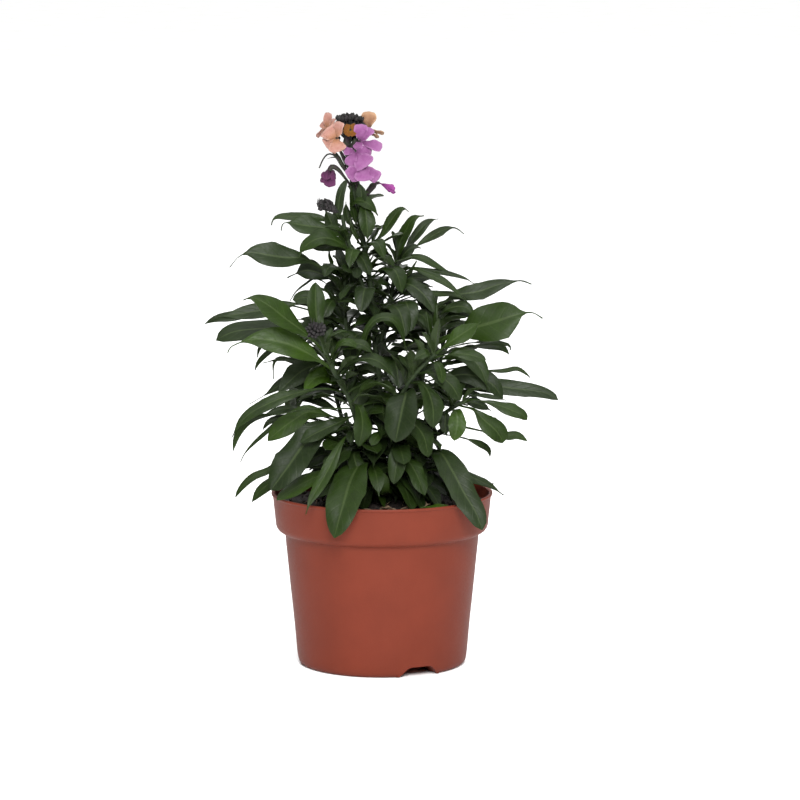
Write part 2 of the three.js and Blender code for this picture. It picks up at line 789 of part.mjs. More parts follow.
const plant = new THREE.Group();
plant.add(mesh("pot", pot(), "pot", 0.42));
plant.add(mesh("potting_soil", pottingSoil(), "soil", 0.95));
const lines = stemLines();
for (const name of Object.keys(STEMS)) plant.add(mesh(name, stem(name, lines[name]), "stem"));
for (const [name, row] of Object.entries(LEAVES)) plant.add(mesh(name, leaf(row, lines), "leaf"));
for (const [name, row] of Object.entries(FLOWERS)) plant.add(mesh(name, flower(row, lines), row.colour));
for (const [name, row] of Object.entries(HANGING)) plant.add(mesh(name, hanging(row, lines), row.colour));
for (const [name, row] of Object.entries(HEADS)) plant.add(mesh(name, head(row, lines), row.colour));

export default plant;
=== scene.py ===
"""The looks of a wallflower in a round plastic nursery pot.

Every size below is in millimetres and every finished mesh is in metres, in the model's own frame:
the origin is the centre of the pot's underside, +Z is up and the front of the plant faces -Y.
Each leaf, stem and flower stands where the solid that it replaces stands, to about 2 mm.
"""

import math
import random
from typing import NamedTuple

import bmesh
import bpy
import numpy as np
from bpy.props import FloatProperty, FloatVectorProperty, IntProperty, PointerProperty
from mathutils import Matrix, Quaternion, Vector
from mathutils.bvhtree import BVHTree
from mathutils.geometry import interpolate_bezier


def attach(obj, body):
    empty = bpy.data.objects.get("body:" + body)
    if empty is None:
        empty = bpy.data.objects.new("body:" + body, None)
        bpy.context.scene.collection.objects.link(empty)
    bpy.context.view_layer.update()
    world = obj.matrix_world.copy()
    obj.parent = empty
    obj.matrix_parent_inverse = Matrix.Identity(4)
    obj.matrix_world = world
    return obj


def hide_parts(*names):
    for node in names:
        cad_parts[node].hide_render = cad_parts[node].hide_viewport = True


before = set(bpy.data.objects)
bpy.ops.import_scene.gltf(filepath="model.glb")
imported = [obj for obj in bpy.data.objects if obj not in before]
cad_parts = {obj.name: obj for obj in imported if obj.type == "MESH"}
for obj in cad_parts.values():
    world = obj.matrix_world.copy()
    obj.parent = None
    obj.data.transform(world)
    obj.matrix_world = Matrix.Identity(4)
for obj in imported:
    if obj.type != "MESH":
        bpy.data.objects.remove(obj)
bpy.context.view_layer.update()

bl_info = {
    "name": "Potted wallflower",
    "version": (1, 0, 0),
    "blender": (4, 5, 0),
    "location": "3D view > Sidebar > Wallflower",
    "description": "Grows a wallflower in a nursery pot around its packed solids",
    "category": "Object",
}

MM = 0.001
GOLDEN_ANGLE = math.radians(137.5)
UP = Vector((0, 0, 1))

# The camera looks along +Y from a little to the right of the pot's axis.
CAMERA_X = 10.6
CAMERA_AT = Vector((CAMERA_X, -2600, 543)) * MM
CAMERA_AIM = Vector((CAMERA_X, 0, 156.2)) * MM
CAMERA_LENS = 201.8
CAMERA_SENSOR = 36
CAMERA_CLIP = 50  # metres

# The pot's outside from the foot to the lip, then its inside down to the floor: radius, height.
FOOT_R = 45.7
POT_OUTSIDE = [
    (46.6, 0.1), (47.6, 0.5), (48.6, 1.3), (49.3, 2.3), (49.7, 3.7), (50.2, 8), (51.8, 26), (54.2, 49),
    (56.5, 72), (56.9, 77.2), (57.2, 78.3), (57.7, 78.9), (58.6, 79.1), (59.8, 79.4), (61, 80.2),
    (61.9, 81.4), (62.4, 83), (63, 89), (63.7, 95.5), (64.1, 99.5), (64.3, 100.2), (64.8, 100.5),
    (65, 100.9), (65, 101.6), (64.7, 102),
]
POT_INSIDE = [
    (63.6, 102), (62.9, 101.5), (62.7, 100), (61.8, 91), (60.9, 83.2), (60, 81.4), (58.4, 80.6),
    (56.4, 80.2), (55.6, 79.6), (55.3, 78), (54.2, 66), (51.5, 37), (48.4, 5.2), (47.6, 3), (46.2, 1.9),
    (44, 1.6),
]
POT_SIDES = 160
CHANNEL_COUNT = 3
FIRST_CHANNEL = math.radians(27)  # from the front towards +X
CHANNEL_HEIGHT = 6
CHANNEL_FOOT_HALF = 13.5
CHANNEL_TOP_HALF = 7.5
CHANNEL_START = 14
CHANNEL_END = FOOT_R + 12
CHANNEL_WALL = 1.3
CHANNEL_EDGE = 2.4
DRAIN_HOLE_R = 4
DRAIN_HOLE_AT = 31
DRAIN_HOLE_DEPTH = 12
# The cone that cuts the channels' covers off inside the pot's wall.
COVER_CONE_FOOT_R = 48.6
COVER_CONE_TOP_R = 51
COVER_CONE_HEIGHT = 20
COVER_CONE_MIDDLE_Z = 10.5

# Compost: its mean surface, its underside, and its plug's outside from the foot to the top.
SOIL_TOP = 96
SOIL_BOTTOM = 9
SOIL_R = 61.5
SOIL_EDGE_Z = 95
PLUG_FOOT_R = 47.8
PLUG_OUTSIDE = [(50, 22), (53.6, 55), (55.2, 76), (58, 81.5), (60.2, 84), (SOIL_R, SOIL_EDGE_Z)]
PLUG_INSETS = 26
PLUG_INSET = 2.2
FIBRES = 34
# Dead leaf scraps on the compost: x, y, heading in degrees and length.
SCRAPS = [
    (14, -38, 12, 17), (4, -34, 150, 12), (26, -30, 75, 11), (-34, 30, 40, 15), (30, 34, 120, 16),
    (20, -26, 30, 9),
]

# Stems: the points that each follows, and its radius at the foot and at the tip.
STEM_ROOT = 80
STEM_CLEAR = 99  # they leave the compost straight up


class Stem(NamedTuple):
    points: list
    foot_r: float
    tip_r: float


def rooted(x, y):
    return [(x, y, STEM_ROOT), (x, y, STEM_CLEAR)]


STEMS = {
    "main_stem": Stem(
        [*rooted(0, 0), (0, 1, 135), (-3, 2, 180), (-7, 2, 226), (-12, 1, 256), (-17, 0, 284), (-19, 0, 306)],
        2.6, 1.6,
    ),
    "left_stem": Stem([*rooted(-7, 1), (-13, 3, 140), (-19, 4, 180), (-22, 4, 215), (-21, 3, 234)], 2.0, 1.3),
    "left_front_stem": Stem(
        [
            *rooted(-3, -8), (-10, -20, 128), (-18, -34, 160), (-25, -40, 174), (-31, -44, 187), (-36, -47, 200),
        ],
        2.0, 1.4,
    ),
    "left_low_stem": Stem([*rooted(-9, -5), (-14, -13, 118), (-19, -20, 142), (-21, -23, 152)], 1.8, 1.2),
    "right_front_stem": Stem(
        [*rooted(4, -8), (5, -20, 132), (10, -31, 160), (20, -40, 178), (31, -46, 190)], 1.9, 1.3
    ),
    "right_low_stem": Stem(
        [*rooted(10, -4), (19, -12, 122), (29, -18, 144), (41, -23, 155), (51, -25, 160)], 1.9, 1.3
    ),
    "right_stem": Stem([*rooted(8, 2), (16, 1, 130), (23, -3, 165), (28, -4, 195), (30, -4, 217)], 2.0, 1.2),
    "back_left_stem": Stem([*rooted(-6, 7), (-20, 22, 130), (-30, 33, 165), (-34, 38, 192)], 1.9, 1.2),
    "back_right_stem": Stem([*rooted(7, 8), (24, 22, 135), (34, 30, 172), (38, 32, 200)], 1.9, 1.2),
    "back_stem": Stem([*rooted(0, 10), (2, 28, 135), (2, 36, 172), (0, 38, 208)], 1.9, 1.2),
    "left_bud_stem": Stem(
        [(-5.5, 2, 208), (-12, -3, 226), (-17, -5, 243), (-21, -6, 255), (-23, -6, 266)], 1.6, 1.3
    ),
    "upper_right_stem": Stem([(-3, 2, 182), (3, 6, 205), (7, 7, 226), (9, 6, 243)], 1.6, 1.2),
}


# The long leaves that make the plant's outline. Each has the stem and the height that it grows
# from, its width, its roll about the midrib, its kind of blade, its tone, from 0 for a dark bluish
# leaf to 1 for a bright yellow-green one, and the points that its midrib passes. The tone is partly
# painted light and shade: the highest stand for leaves lit through from behind, the lowest for
# leaves in shade.
class Leaf(NamedTuple):
    stem: str
    height: float
    width: float
    roll: float
    blade: str
    tone: float
    points: tuple


def leaf(stem, height, width, roll, blade, tone, *points):
    return Leaf(stem, height, width, roll, blade, tone, points)


OUTER_LEAVES = {
    "left_leaf_1": leaf(
        "left_stem", 228, 15, -65, "tailed", 0.2, (-33, -1, 233.6), (-45.9, -4, 240.2), (-56.8, -6, 241),
        (-66.8, -8, 242.7), (-75.7, -8, 244.2), (-82.7, -9, 242.3), (-88.6, -10, 235.6),
    ),
    "left_leaf_2": leaf(
        "left_bud_stem", 249, 12, -60, "tailed", 0.3, (-27.9, -9, 257.8), (-35.8, -10, 259.1),
        (-45.8, -11, 260.4), (-51.7, -12, 261.6), (-55.7, -12, 262.3), (-57.7, -12, 261.1),
        (-58.5, -12, 257.3),
    ),
    "left_leaf_3": leaf(
        "left_stem", 200, 10.5, -60, "kite", 0.25, (-43.9, -3, 212.7), (-55.8, -6, 213.2), (-66.8, -8, 211),
        (-79.7, -9, 208.8), (-89.6, -10, 207.3), (-96.6, -10, 206.3), (-101.3, -10, 203.8),
    ),
    "left_leaf_4": leaf(
        "left_stem", 190, 13, -55, "spoon", 0.1, (-39.7, -14, 199.9), (-56.4, -23, 202),
        (-70.2, -25, 201.7), (-83.1, -25, 200.5), (-90, -25, 198.3), (-96, -25, 194.8),
    ),
    "left_leaf_5": leaf(
        "left_front_stem", 190, 14, -70, "lance", 0.5, (-43.9, -53, 203.1), (-54.5, -58, 211.6),
        (-63.2, -61, 219.1), (-70, -62, 223.3), (-74.9, -63, 224.5), (-78.8, -63, 223.2),
    ),
    "left_leaf_6": leaf(
        "left_front_stem", 180, 16, -65, "early", 0.85, (-40.1, -47, 189.1), (-49.8, -49, 194.5),
        (-58.6, -50, 197.5), (-68.5, -50, 199), (-76.3, -51, 198.7), (-82.1, -51, 196.9),
        (-86.6, -51, 194.3), (-88.3, -51, 191),
    ),
    "left_leaf_7": leaf(
        "left_stem", 168, 13, -55, "lance", 0.2, (-33.9, -4, 177.1), (-44.8, -10, 175.9),
        (-54.6, -14, 168.5), (-62, -17, 161),
    ),
    "left_leaf_8": leaf(
        "left_front_stem", 166, 8.5, -50, "lance", 0.3, (-34.3, -42, 169.1), (-51.8, -48, 166.5),
        (-66, -51, 161.3), (-76.2, -52, 155.7), (-82.9, -52, 148.6), (-86.4, -52, 142),
    ),
    "left_leaf_9": leaf(
        "left_low_stem", 149, 19.5, -45, "strap", 0.1, (-31, -31, 148), (-44.5, -37, 136.3),
        (-54.3, -41, 123), (-64, -44, 110),
    ),
    "left_leaf_10": leaf(
        "left_low_stem", 136, 5, -45, "spoon", 0.3, (-37.7, -16, 137), (-55.5, -20, 127.2),
        (-65.4, -21, 118.5), (-74.3, -22, 114.7), (-79.2, -22, 110.7), (-83.2, -22, 106.1),
        (-85.5, -22, 102.1),
    ),
    "left_leaf_11": leaf(
        "left_low_stem", 108, 13, -25, "broad", 0.9, (-30, -21, 116), (-45, -29, 112), (-61, -36, 103),
    ),
    "front_leaf_1": leaf(
        "left_front_stem", 144, 8, -25, "lance", 0.5, (-22, -44, 140), (-29.5, -53, 126), (-36, -59, 115),
        (-41, -63, 106.5), (-43.5, -65, 99.5),
    ),
    "front_leaf_2": leaf(
        "left_front_stem", 118, 22, 0, "broad", 0.35, (-12, -38, 125), (-18, -54, 117), (-22, -66, 105),
        (-25, -71, 95), (-27, -72, 87),
    ),
    "front_leaf_3": leaf(
        "right_front_stem", 158, 20, 0, "broad", 0.05, (14, -42, 167), (12, -51, 159), (10, -55, 150),
        (8, -56, 140),
    ),
    "right_leaf_1": leaf(
        "right_low_stem", 117, 16, 20, "strap", 0.15, (32.4, -30, 130.2), (40.7, -43, 121.3),
        (47.6, -50, 109.3), (54.3, -55, 98.9), (58, -57, 89),
    ),
    "right_leaf_2": leaf(
        "right_low_stem", 123, 8, 30, "lance", 0.2, (35.9, -12, 121), (47.8, -12, 114.8),
        (57.7, -14, 110.3), (64.7, -15, 107.1), (71.4, -15, 102.4),
    ),
    "right_leaf_3": leaf(
        "right_stem", 164, 10, 60, "strap", 0.15, (41.9, -8, 167.2), (54.8, -9, 166.8), (67.8, -10, 165.8),
        (79.7, -11, 164.3), (87.7, -11, 163.5), (94.6, -11, 162.2), (99.6, -11, 160.3), (102.9, -12, 158),
    ),
    "right_leaf_4": leaf(
        "right_stem", 188, 24.5, 68, "tailed", 0.5, (41.9, -12, 196.6), (55.7, -18, 201.9),
        (67, -21, 205.7), (75.9, -22, 208.9), (82.4, -22, 210.4), (87.8, -22, 210.8), (93.3, -22, 207.4),
    ),
    "right_leaf_5": leaf(
        "right_stem", 211, 10.5, 65, "early", 0.2, (44, -3, 218.7), (50.9, -4, 219.9), (57.9, -4, 221.2),
        (63.9, -4, 223.5), (69.9, -4, 225.4), (75.9, -4, 226.5), (81.9, -4, 226.9), (87.4, -4, 225.1),
    ),
    "right_leaf_6": leaf(
        "right_low_stem", 157, 14, 40, "spoon", 0.45, (52.8, -31, 155.2), (59.4, -34, 149.4),
        (65.6, -35, 144), (69, -35, 139.3), (70, -35, 136.1),
    ),
    "right_leaf_7": leaf(
        "right_low_stem", 147, 6, 50, "spatula", 0.5, (49.8, -15, 142), (62.7, -17, 139.7),
        (73.1, -18, 137.6), (79, -18, 138), (85, -18, 134.6),
    ),
    "right_leaf_8": leaf(
        "upper_right_stem", 226, 5, 40, "lance", 0.3, (18, -4, 234.3), (24.9, -10, 232.7),
        (30.9, -13, 230.4), (36.8, -15, 227.3), (42.8, -17, 223.1), (48.7, -18, 217.8),
    ),
    "right_leaf_9": leaf(
        "upper_right_stem", 238, 6, 50, "tailed", 0.2, (20, 6, 246.3), (28, 7, 251.2), (33.1, 7, 254.2),
        (38.1, 7, 256.5), (42.1, 7, 257), (45.1, 7, 255.8), (48.1, 7, 253.4),
    ),
    "top_leaf_1": leaf(
        "main_stem", 246, 7, 50, "lance", 0.35, (-1, 3, 252.2), (5, 4, 260.9), (9.8, 4, 267.3),
        (13, 4, 268.6), (15.8, 4, 266.8),
    ),
    "top_leaf_2": leaf(
        "main_stem", 271, 10, 0, "lance", 0.3, (-11, -7, 273), (-9, -12, 265), (-8, -14, 251),
    ),
    "top_leaf_3": leaf(
        "upper_right_stem", 230, 11, 65, "lance", 0.35, (10, -2, 247.2), (14.4, -4, 257.4),
        (18.4, -5, 263.9), (24.5, -5, 265.5),
    ),
    "back_leaf_1": leaf(
        "back_left_stem", 188, 13, 20, "lance", 0.35, (-44, 50, 192), (-52, 62, 194), (-58, 72, 184),
    ),
    "back_leaf_2": leaf(
        "back_left_stem", 160, 14, 10, "broad", 0.35, (-40, 50, 160), (-50, 66, 152), (-56, 76, 136),
    ),
    "back_leaf_3": leaf(
        "back_stem", 204, 13, 0, "lance", 0.35, (-3, 54, 214), (-8, 70, 212), (-11, 82, 198),
    ),
    "back_leaf_4": leaf(
        "back_stem", 162, 15, -10, "broad", 0.35, (7, 56, 168), (14, 74, 160), (18, 88, 142),
    ),
    "back_leaf_5": leaf(
        "back_right_stem", 196, 13, -15, "lance", 0.35, (48, 44, 200), (60, 56, 199), (70, 64, 190),
    ),
    "back_leaf_6": leaf(
        "back_stem", 118, 16, 0, "broad", 0.35, (-3, 44, 124), (-8, 62, 114), (-11, 78, 98),
    ),
}


# Shorter leaves between the outer ones, most of them seen from the front: the rows of each stem
# hold what the ones above hold after the stem.
SIDE_ROWS = {
    "left_bud_stem": [
        (252, 6.5, -50, "lance", 0.35, (-27, -3, 259.3), (-34.9, -3, 263.3), (-45.9, -4, 264.6),
         (-55.9, -5, 264.8), (-60.9, -5, 264.5), (-63.4, -5, 262.8), (-64.4, -5, 259.7)),
        (246, 3.5, -50, "lance", 0.2, (-23.9, -9, 257.3), (-29.9, -9, 259.5), (-36.8, -9, 259.3)),
        (236, 11.5, -45, "lance", 0.35, (-20.9, -12, 246.9), (-26.8, -15, 252), (-33.7, -17, 253.7),
         (-40.1, -18, 252), (-45.3, -18, 247.9), (-48.4, -18, 242.4)),
        (243, 7, -50, "broad", 0.15, (-25.9, -8, 247.4), (-32.8, -9, 248), (-39.8, -9, 246.5)),
        (240, 2.5, -50, "lance", 0.3, (-22.9, -9, 252), (-27.9, -10, 256.4), (-33.8, -10, 258.1)),
        (252, 8.5, -80, "lance", 0.05, (-27.4, -7, 258.3), (-30.4, -8, 263.9), (-32.9, -8, 269.1)),
    ],
    "left_stem": [
        (222, 14, -50, "tailed", 0.0, (-29.1, 6, 226.3), (-36.1, 7, 230), (-43.1, 7, 231.8),
         (-49.2, 7, 230.6), (-55.5, 7, 227.5)),
        (208, 8, -30, "spoon", 0.2, (-27.9, -8, 216), (-30.8, -14, 213.8), (-33.7, -18, 207.3)),
        (202, 10, -50, "spoon", 0.2, (-34, 0, 213), (-43, -3, 217), (-52, -4, 216)),
        (196, 11, -40, "broad", 0.1, (-33, -14, 206), (-41, -26, 203), (-48, -32, 194)),
        (178, 3.5, -50, "spatula", 0.35, (-44, 0, 187), (-56, -1, 190.1), (-64.9, -2, 190.8),
         (-70.4, -2, 188.8), (-72.2, -2, 185.8), (-72.9, -2, 181.6)),
        (174, 4, -50, "spatula", 0.35, (-44, 2, 181.7), (-56.1, 2, 186.7), (-64.1, 2, 185.7),
         (-69.1, 2, 182), (-72.8, 2, 177.7), (-74.5, 2, 173.5)),
        (172, 3, -50, "lance", 0.35, (-46.1, 4, 177.9), (-54.1, 4, 179.7), (-60.1, 4, 179.7),
         (-66.1, 4, 178.6), (-69.9, 4, 177.6)),
        (168, 3.2, -50, "lance", 0.35, (-46.1, 6, 176.2), (-55.2, 6, 179.2), (-60.2, 6, 180.2),
         (-63.2, 6, 178.2), (-64, 6, 173.1), (-63.9, 6, 167.6)),
        (164, 12, -50, "broad", 1.0, (-30, -20, 173), (-38, -24, 173), (-45, -26, 166)),
        (158, 11, -55, "early", 0.05, (-41.8, -8, 166.2), (-51.8, -10, 168.9), (-59.7, -11, 166.6),
         (-65.7, -11, 162.6), (-71.7, -11, 158.9), (-77.6, -11, 155.4)),
        (186, 11, 20, "broad", 0.1, (-30, -18, 196), (-24, -30, 200), (-14, -38, 192)),
        (226, 9, -20, "broad", 0.15, (-25.9, -8, 235.9), (-30.7, -16, 236.4), (-33.2, -19, 231.3)),
        (230, 10, 20, "broad", 0.1, (-18, -6, 242), (-12, -12, 242), (-7, -16, 232)),
        (225, 6.5, -60, "lance", 0.15, (-28.4, -6, 235.7), (-30.3, -6, 240.7), (-30.1, -6, 246.7)),
        (216, 1.5, -50, "lance", 0.0, (-38.2, 10, 226.8), (-45.2, 10, 223.3), (-50.7, 10, 218.8),
         (-54.2, 10, 213.5)),
        (208, 6, -50, "broad", 0.2, (-27.9, -6, 215.8), (-30.9, -8, 220.5), (-34.8, -9, 223.6)),
        (202, 6.5, -55, "spatula", 0.15, (-55.9, -5, 213.1), (-74.7, -8, 209.6), (-87.7, -9, 207),
         (-95.6, -9, 205.8), (-99.6, -9, 204.4), (-103.1, -9, 202.4)),
        (200, 7.5, -85, "lance", 0.0, (-24.1, 8, 206), (-26.1, 9, 211.9), (-25.1, 9, 218.9)),
        (194, 4.5, -50, "lance", 0.05, (-36.1, 6, 199.2), (-43.1, 6, 203), (-50.1, 6, 203.2)),
        (212, 8.5, -50, "broad", 0.0, (-24.1, 8, 218), (-29.1, 9, 221.9), (-34.2, 9, 219.9)),
    ],
    "left_front_stem": [
        (192, 11, 0, "broad", 0.35, (-37, -43, 208), (-38, -40, 219), (-38, -35, 230)),
        (156, 5.2, -50, "spatula", 0.35, (-41.3, -36, 156.4), (-58.9, -40, 154.1), (-72.1, -42, 152.4),
         (-79, -43, 148.6), (-83.8, -43, 141.7), (-85.8, -43, 132.9)),
        (170, 7, 40, "lance", 0.35, (-12, -40, 192), (-8, -40, 204), (-1, -40, 210), (8, -39, 208),
         (15, -38, 190)),
        (160, 12, 0, "broad", 0.35, (-13, -42, 158), (-11, -45, 149), (-13, -46, 136)),
        (176, 9, 30, "lance", 0.2, (-14, -44, 186), (-2, -48, 186), (8, -49, 176)),
        (184, 8, 40, "lance", 0.25, (-22, -48, 194), (-12, -50, 196), (-4, -50, 190)),
        (186, 7, 35, "lance", 0.5, (-26, -50, 194), (-20, -52, 198), (-12, -52, 193)),
        (152, 10, -45, "broad", 0.15, (-25.4, -40, 148.7), (-37.2, -43, 143.7), (-47, -44, 138)),
        (130, 11, 0, "broad", 0.15, (-16, -36, 130), (-14, -44, 122), (-12, -47, 108)),
        (108, 13, -20, "broad", 0.2, (-20, -30, 114), (-32, -42, 112), (-40, -48, 106)),
    ],
    "left_low_stem": [
        (116, 8, -45, "spatula", 0.3, (-39.7, -14, 118.8), (-54.6, -17, 115.8), (-65, -18, 110),
         (-71.1, -18, 105.1), (-75.9, -18, 98.7)),
        (140, 3, -45, "lance", 0.35, (-44.7, -12, 147.8), (-57.6, -14, 147.1), (-66.6, -15, 140.3),
         (-75.5, -16, 132.3), (-80.9, -16, 126), (-82.8, -16, 121.9)),
        (147, 12.5, -50, "broad", 0.8, (-41.5, -24, 152.9), (-51.3, -27, 148.4), (-58.3, -28, 143.4),
         (-63.7, -28, 138.9), (-66.2, -28, 136.4)),
        (130, 6, -50, "lance", 0.4, (-35.6, -22, 139.9), (-42.5, -24, 139.8), (-48.4, -25, 137.4)),
        (145, 5, -50, "spatula", 0.1, (-49.8, -10, 152.5), (-59.7, -12, 152.3), (-68.6, -13, 149)),
        (143, 4.5, -50, "spatula", 0.1, (-47.8, -8, 148.2), (-57.8, -9, 147.4), (-65.7, -10, 145),
         (-69.7, -10, 140.1)),
        (150, 5.5, -50, "lance", 0.05, (-35.9, -8, 156.2), (-42.8, -9, 157.9), (-49.8, -10, 156.5)),
        (120, 10, -45, "broad", 0.05, (-32.8, -14, 126.3), (-39.7, -16, 124.1), (-45.6, -18, 119)),
    ],
    "upper_right_stem": [
        (236, 6, 55, "lance", 0.15, (15, 10, 245.4), (20.7, 12, 253.2), (25.7, 13, 258.6),
         (29.6, 13, 260.8), (33.1, 13, 261.6)),
        (222, 3.5, 50, "lance", 0.15, (15, 2, 233.4), (22, 1, 233.7), (30, 0, 232.2), (38, -1, 231.1),
         (46, -2, 229.2), (51, -3, 227.2), (54.2, -3, 224.9)),
        (229, 5, 50, "lance", 0.3, (12, 2, 239.3), (19, 1, 240.7), (25, 0, 239.3), (31, 0, 236),
         (37, 0, 233), (41, 0, 231.8)),
        (212, 4, 50, "lance", 0.35, (24, -3, 219.7), (34, -5, 219.6), (41.9, -7, 219.7), (47.9, -8, 217.3),
         (51.7, -8, 212.5)),
        (216, 10, 40, "broad", 0.1, (14, -10, 226), (23.4, -16, 221.5), (31.3, -19, 210.1)),
        (206, 11, 10, "broad", 0.2, (12, -8, 216), (15, -18, 214), (17, -23, 200)),
        (205, 10, 30, "broad", 0.1, (18, -12, 208.6), (23.9, -16, 208.1), (28.9, -18, 199.4)),
        (222, 4.5, 0, "lance", 0.15, (16, 0, 231), (18, 0, 234.5), (20, 0, 238.5)),
        (218, 8.5, 50, "lance", 0.05, (14, 3, 226.1), (22, 4, 228.1), (30, 4, 227)),
        (232, 7, 60, "lance", 0.05, (13, 3, 241.7), (18, 4, 246), (23, 4, 245.5)),
        (212, 5.5, 50, "lance", 0.05, (15, 6, 220.8), (23, 6, 223.3), (30, 6, 222.3)),
        (190, 7.5, 50, "broad", 0.05, (11, 5, 193.3), (20, 4, 198.5), (28, 4, 196.5)),
    ],
    "right_stem": [
        (204, 8, 55, "lance", 0.3, (39.9, -6, 211.3), (48.9, -8, 212), (54.8, -9, 206.2)),
        (182, 5.8, 50, "spatula", 0.35, (42.1, 6, 185.2), (52.1, 7, 187), (58.1, 8, 187.1),
         (64.2, 8, 187.5), (69.2, 8, 186.7), (72.2, 8, 184.9), (74.7, 8, 182.2)),
        (184, 3.5, 50, "spatula", 0.35, (42.1, 9, 186.8), (54.2, 10, 188.9), (64.2, 11, 189.1),
         (71.3, 11, 188.1), (75.1, 11, 186.9), (75.7, 11, 184.1)),
        (170, 3.2, 50, "spatula", 0.35, (44, 0, 175.2), (60, -2, 174.1), (69.9, -3, 173.7),
         (74.9, -3, 174.6), (78.9, -3, 175.4), (82.9, -3, 173.4), (86.9, -3, 170)),
        (176, 10.5, 55, "lance", 0.3, (41.8, -14, 184.9), (51.2, -18, 184), (57.9, -20, 176.8),
         (61.6, -21, 165.6)),
        (160, 12, 60, "broad", 0.1, (39.9, -12, 171.7), (51.8, -15, 173.1), (63.7, -16, 168.3),
         (70.6, -16, 159.4)),
        (178, 3, 55, "lance", 0.1, (37.9, -10, 179.4), (44.8, -12, 180.7), (51.8, -12, 180)),
        (200, 8, 55, "broad", 0.2, (38, 2, 204.7), (46, 2, 207.7), (53, 2, 206.2)),
        (158, 4, 50, "lance", 0.1, (43.9, -6, 161.4), (51.9, -7, 161.8), (59.8, -8, 161)),
        (204, 5, 50, "lance", 0.05, (33, 4, 208), (38, 4, 212.1), (43.6, 4, 213.1)),
        (194, 6, 50, "broad", 0.05, (35, 4, 198), (42, 4, 201.5), (48.1, 4, 201)),
    ],
    "right_front_stem": [
        (187, 7, 55, "spoon", 0.35, (40, -49, 190), (50, -50, 190), (60, -50, 187)),
        (188, 10, 65, "lance", 0.65, (38, -48, 196), (48, -49, 203), (57, -49, 209)),
        (186, 7, 0, "broad", 0.4, (33, -52, 184), (35, -55, 174)),
        (185, 6, -40, "lance", 0.3, (26, -50, 191), (18, -52, 187)),
        (178, 12, 35, "broad", 0.15, (31.1, -46, 178.1), (39.9, -50, 172.3), (45.3, -52, 163.7)),
        (172, 13, 10, "broad", 0.2, (24, -46, 172), (29, -52, 162), (30, -54, 148)),
        (150, 13, 20, "broad", 0.25, (16, -38, 150), (24, -44, 142), (27, -47, 130)),
        (104, 10, 0, "spoon", 1.0, (1, -24, 104), (0, -33, 108), (0, -35, 119)),
        (122, 11, 10, "broad", 0.3, (14, -32, 126), (20, -40, 119), (25, -44, 107)),
        (130, 11, -10, "broad", 0.25, (12, -36, 134), (9, -44, 127), (7, -46, 114)),
    ],
    "right_low_stem": [
        (158, 8.5, 50, "spoon", 0.4, (53.5, -28, 160.7), (65.4, -30, 158.3), (72.8, -31, 155.9),
         (77.7, -31, 153.7), (81.4, -31, 152.5), (84.3, -31, 149.1)),
        (154, 10, 10, "broad", 1.0, (43.1, -32, 154.3), (43.7, -35, 147.4), (42, -36, 137.7)),
        (140, 4.5, 50, "spatula", 0.35, (42.8, -14, 137), (52.8, -15, 134.4), (59.2, -15, 131.6),
         (62.5, -15, 128.7), (63.3, -15, 124.9)),
        (112, 6, 30, "lance", 0.15, (34, -4, 118), (46, -2, 114), (56, 0, 109)),
        (106, 5, 30, "lance", 0.1, (34, 4, 108), (50, 8, 108), (66, 10, 105)),
        (150, 7, 0, "lance", 0.1, (36.7, -28, 152.3), (36.7, -30, 145.6), (37.7, -30, 139.2)),
        (108, 8, 20, "broad", 0.1, (30.8, -24, 119.9), (35.7, -28, 119.6), (40.6, -30, 114)),
        (157, 3.2, 50, "lance", 0.1, (52.6, -24, 162.5), (61.5, -25, 162.1), (72.4, -25, 160)),
        (156, 7, 50, "lance", 0.1, (46.7, -20, 158.5), (55.7, -20, 157), (63.6, -20, 153)),
    ],
    "main_stem": [
        (262, 5.6, 85, "strap", 0.1, (-25.5, -6, 264.6), (-25.1, -7, 270.7), (-24.3, -7, 276.7),
         (-22.9, -7, 281.2), (-20.4, -6, 286.4)),
        (256, 7, 0, "lance", 0.3, (-15, -7, 262), (-17, -7, 272), (-18, -6, 283)),
        (254, 7, 0, "lance", 0.3, (-10, -5, 262), (-11, -5, 272), (-14, -4, 282)),
        (264, 9, 35, "lance", 0.35, (-16, -8, 274), (-8, -10, 273), (-2, -10, 266)),
        (242, 9, 10, "lance", 0.3, (-6, -8, 250), (-2, -14, 250), (2, -18, 240)),
        (236, 9, -10, "lance", 0.4, (-14, -10, 246), (-17, -16, 246), (-19, -20, 235)),
        (228, 11, 15, "broad", 0.15, (2, -10, 236), (8, -16, 234), (12, -20, 222)),
        (216, 12, 0, "broad", 0.1, (-8, -14, 224), (-10, -24, 224), (-12, -30, 212)),
        (206, 12, 10, "broad", 0.15, (4, -14, 214), (10, -24, 212), (14, -30, 198)),
        (190, 13, 0, "broad", 0.05, (-10, -14, 198), (-16, -26, 196), (-19, -33, 182)),
        (176, 13, 0, "broad", 0.1, (4, -14, 184), (8, -26, 182), (10, -33, 168)),
        (160, 13, 0, "broad", 0.05, (-6, -14, 166), (-10, -24, 160), (-12, -30, 146)),
        (244, 7, 20, "lance", 0.3, (-6, -4, 249.5), (-3.5, -4, 254.4), (-1, -4, 259.4)),
        (232, 9, 20, "broad", 0.2, (-1.9, -12, 241.4), (3, -14, 241.6), (7, -16, 236.9)),
        (246, 4, -10, "lance", 0.2, (-14.9, -8, 252.9), (-17.4, -9, 259), (-17.9, -9, 265)),
        (266, 6.5, 85, "lance", 0.1, (-13.4, -7, 270.7), (-11.7, -8, 277.8), (-13.4, -8, 285.8)),
        (166, 7.5, 40, "broad", 0.0, (-15, 0, 171), (-9, -2, 174.9), (-3, -3, 172.4)),
        (182, 6, 50, "broad", 0.05, (8, 0, 186), (14, -1, 189.1), (21, -1, 188.7)),
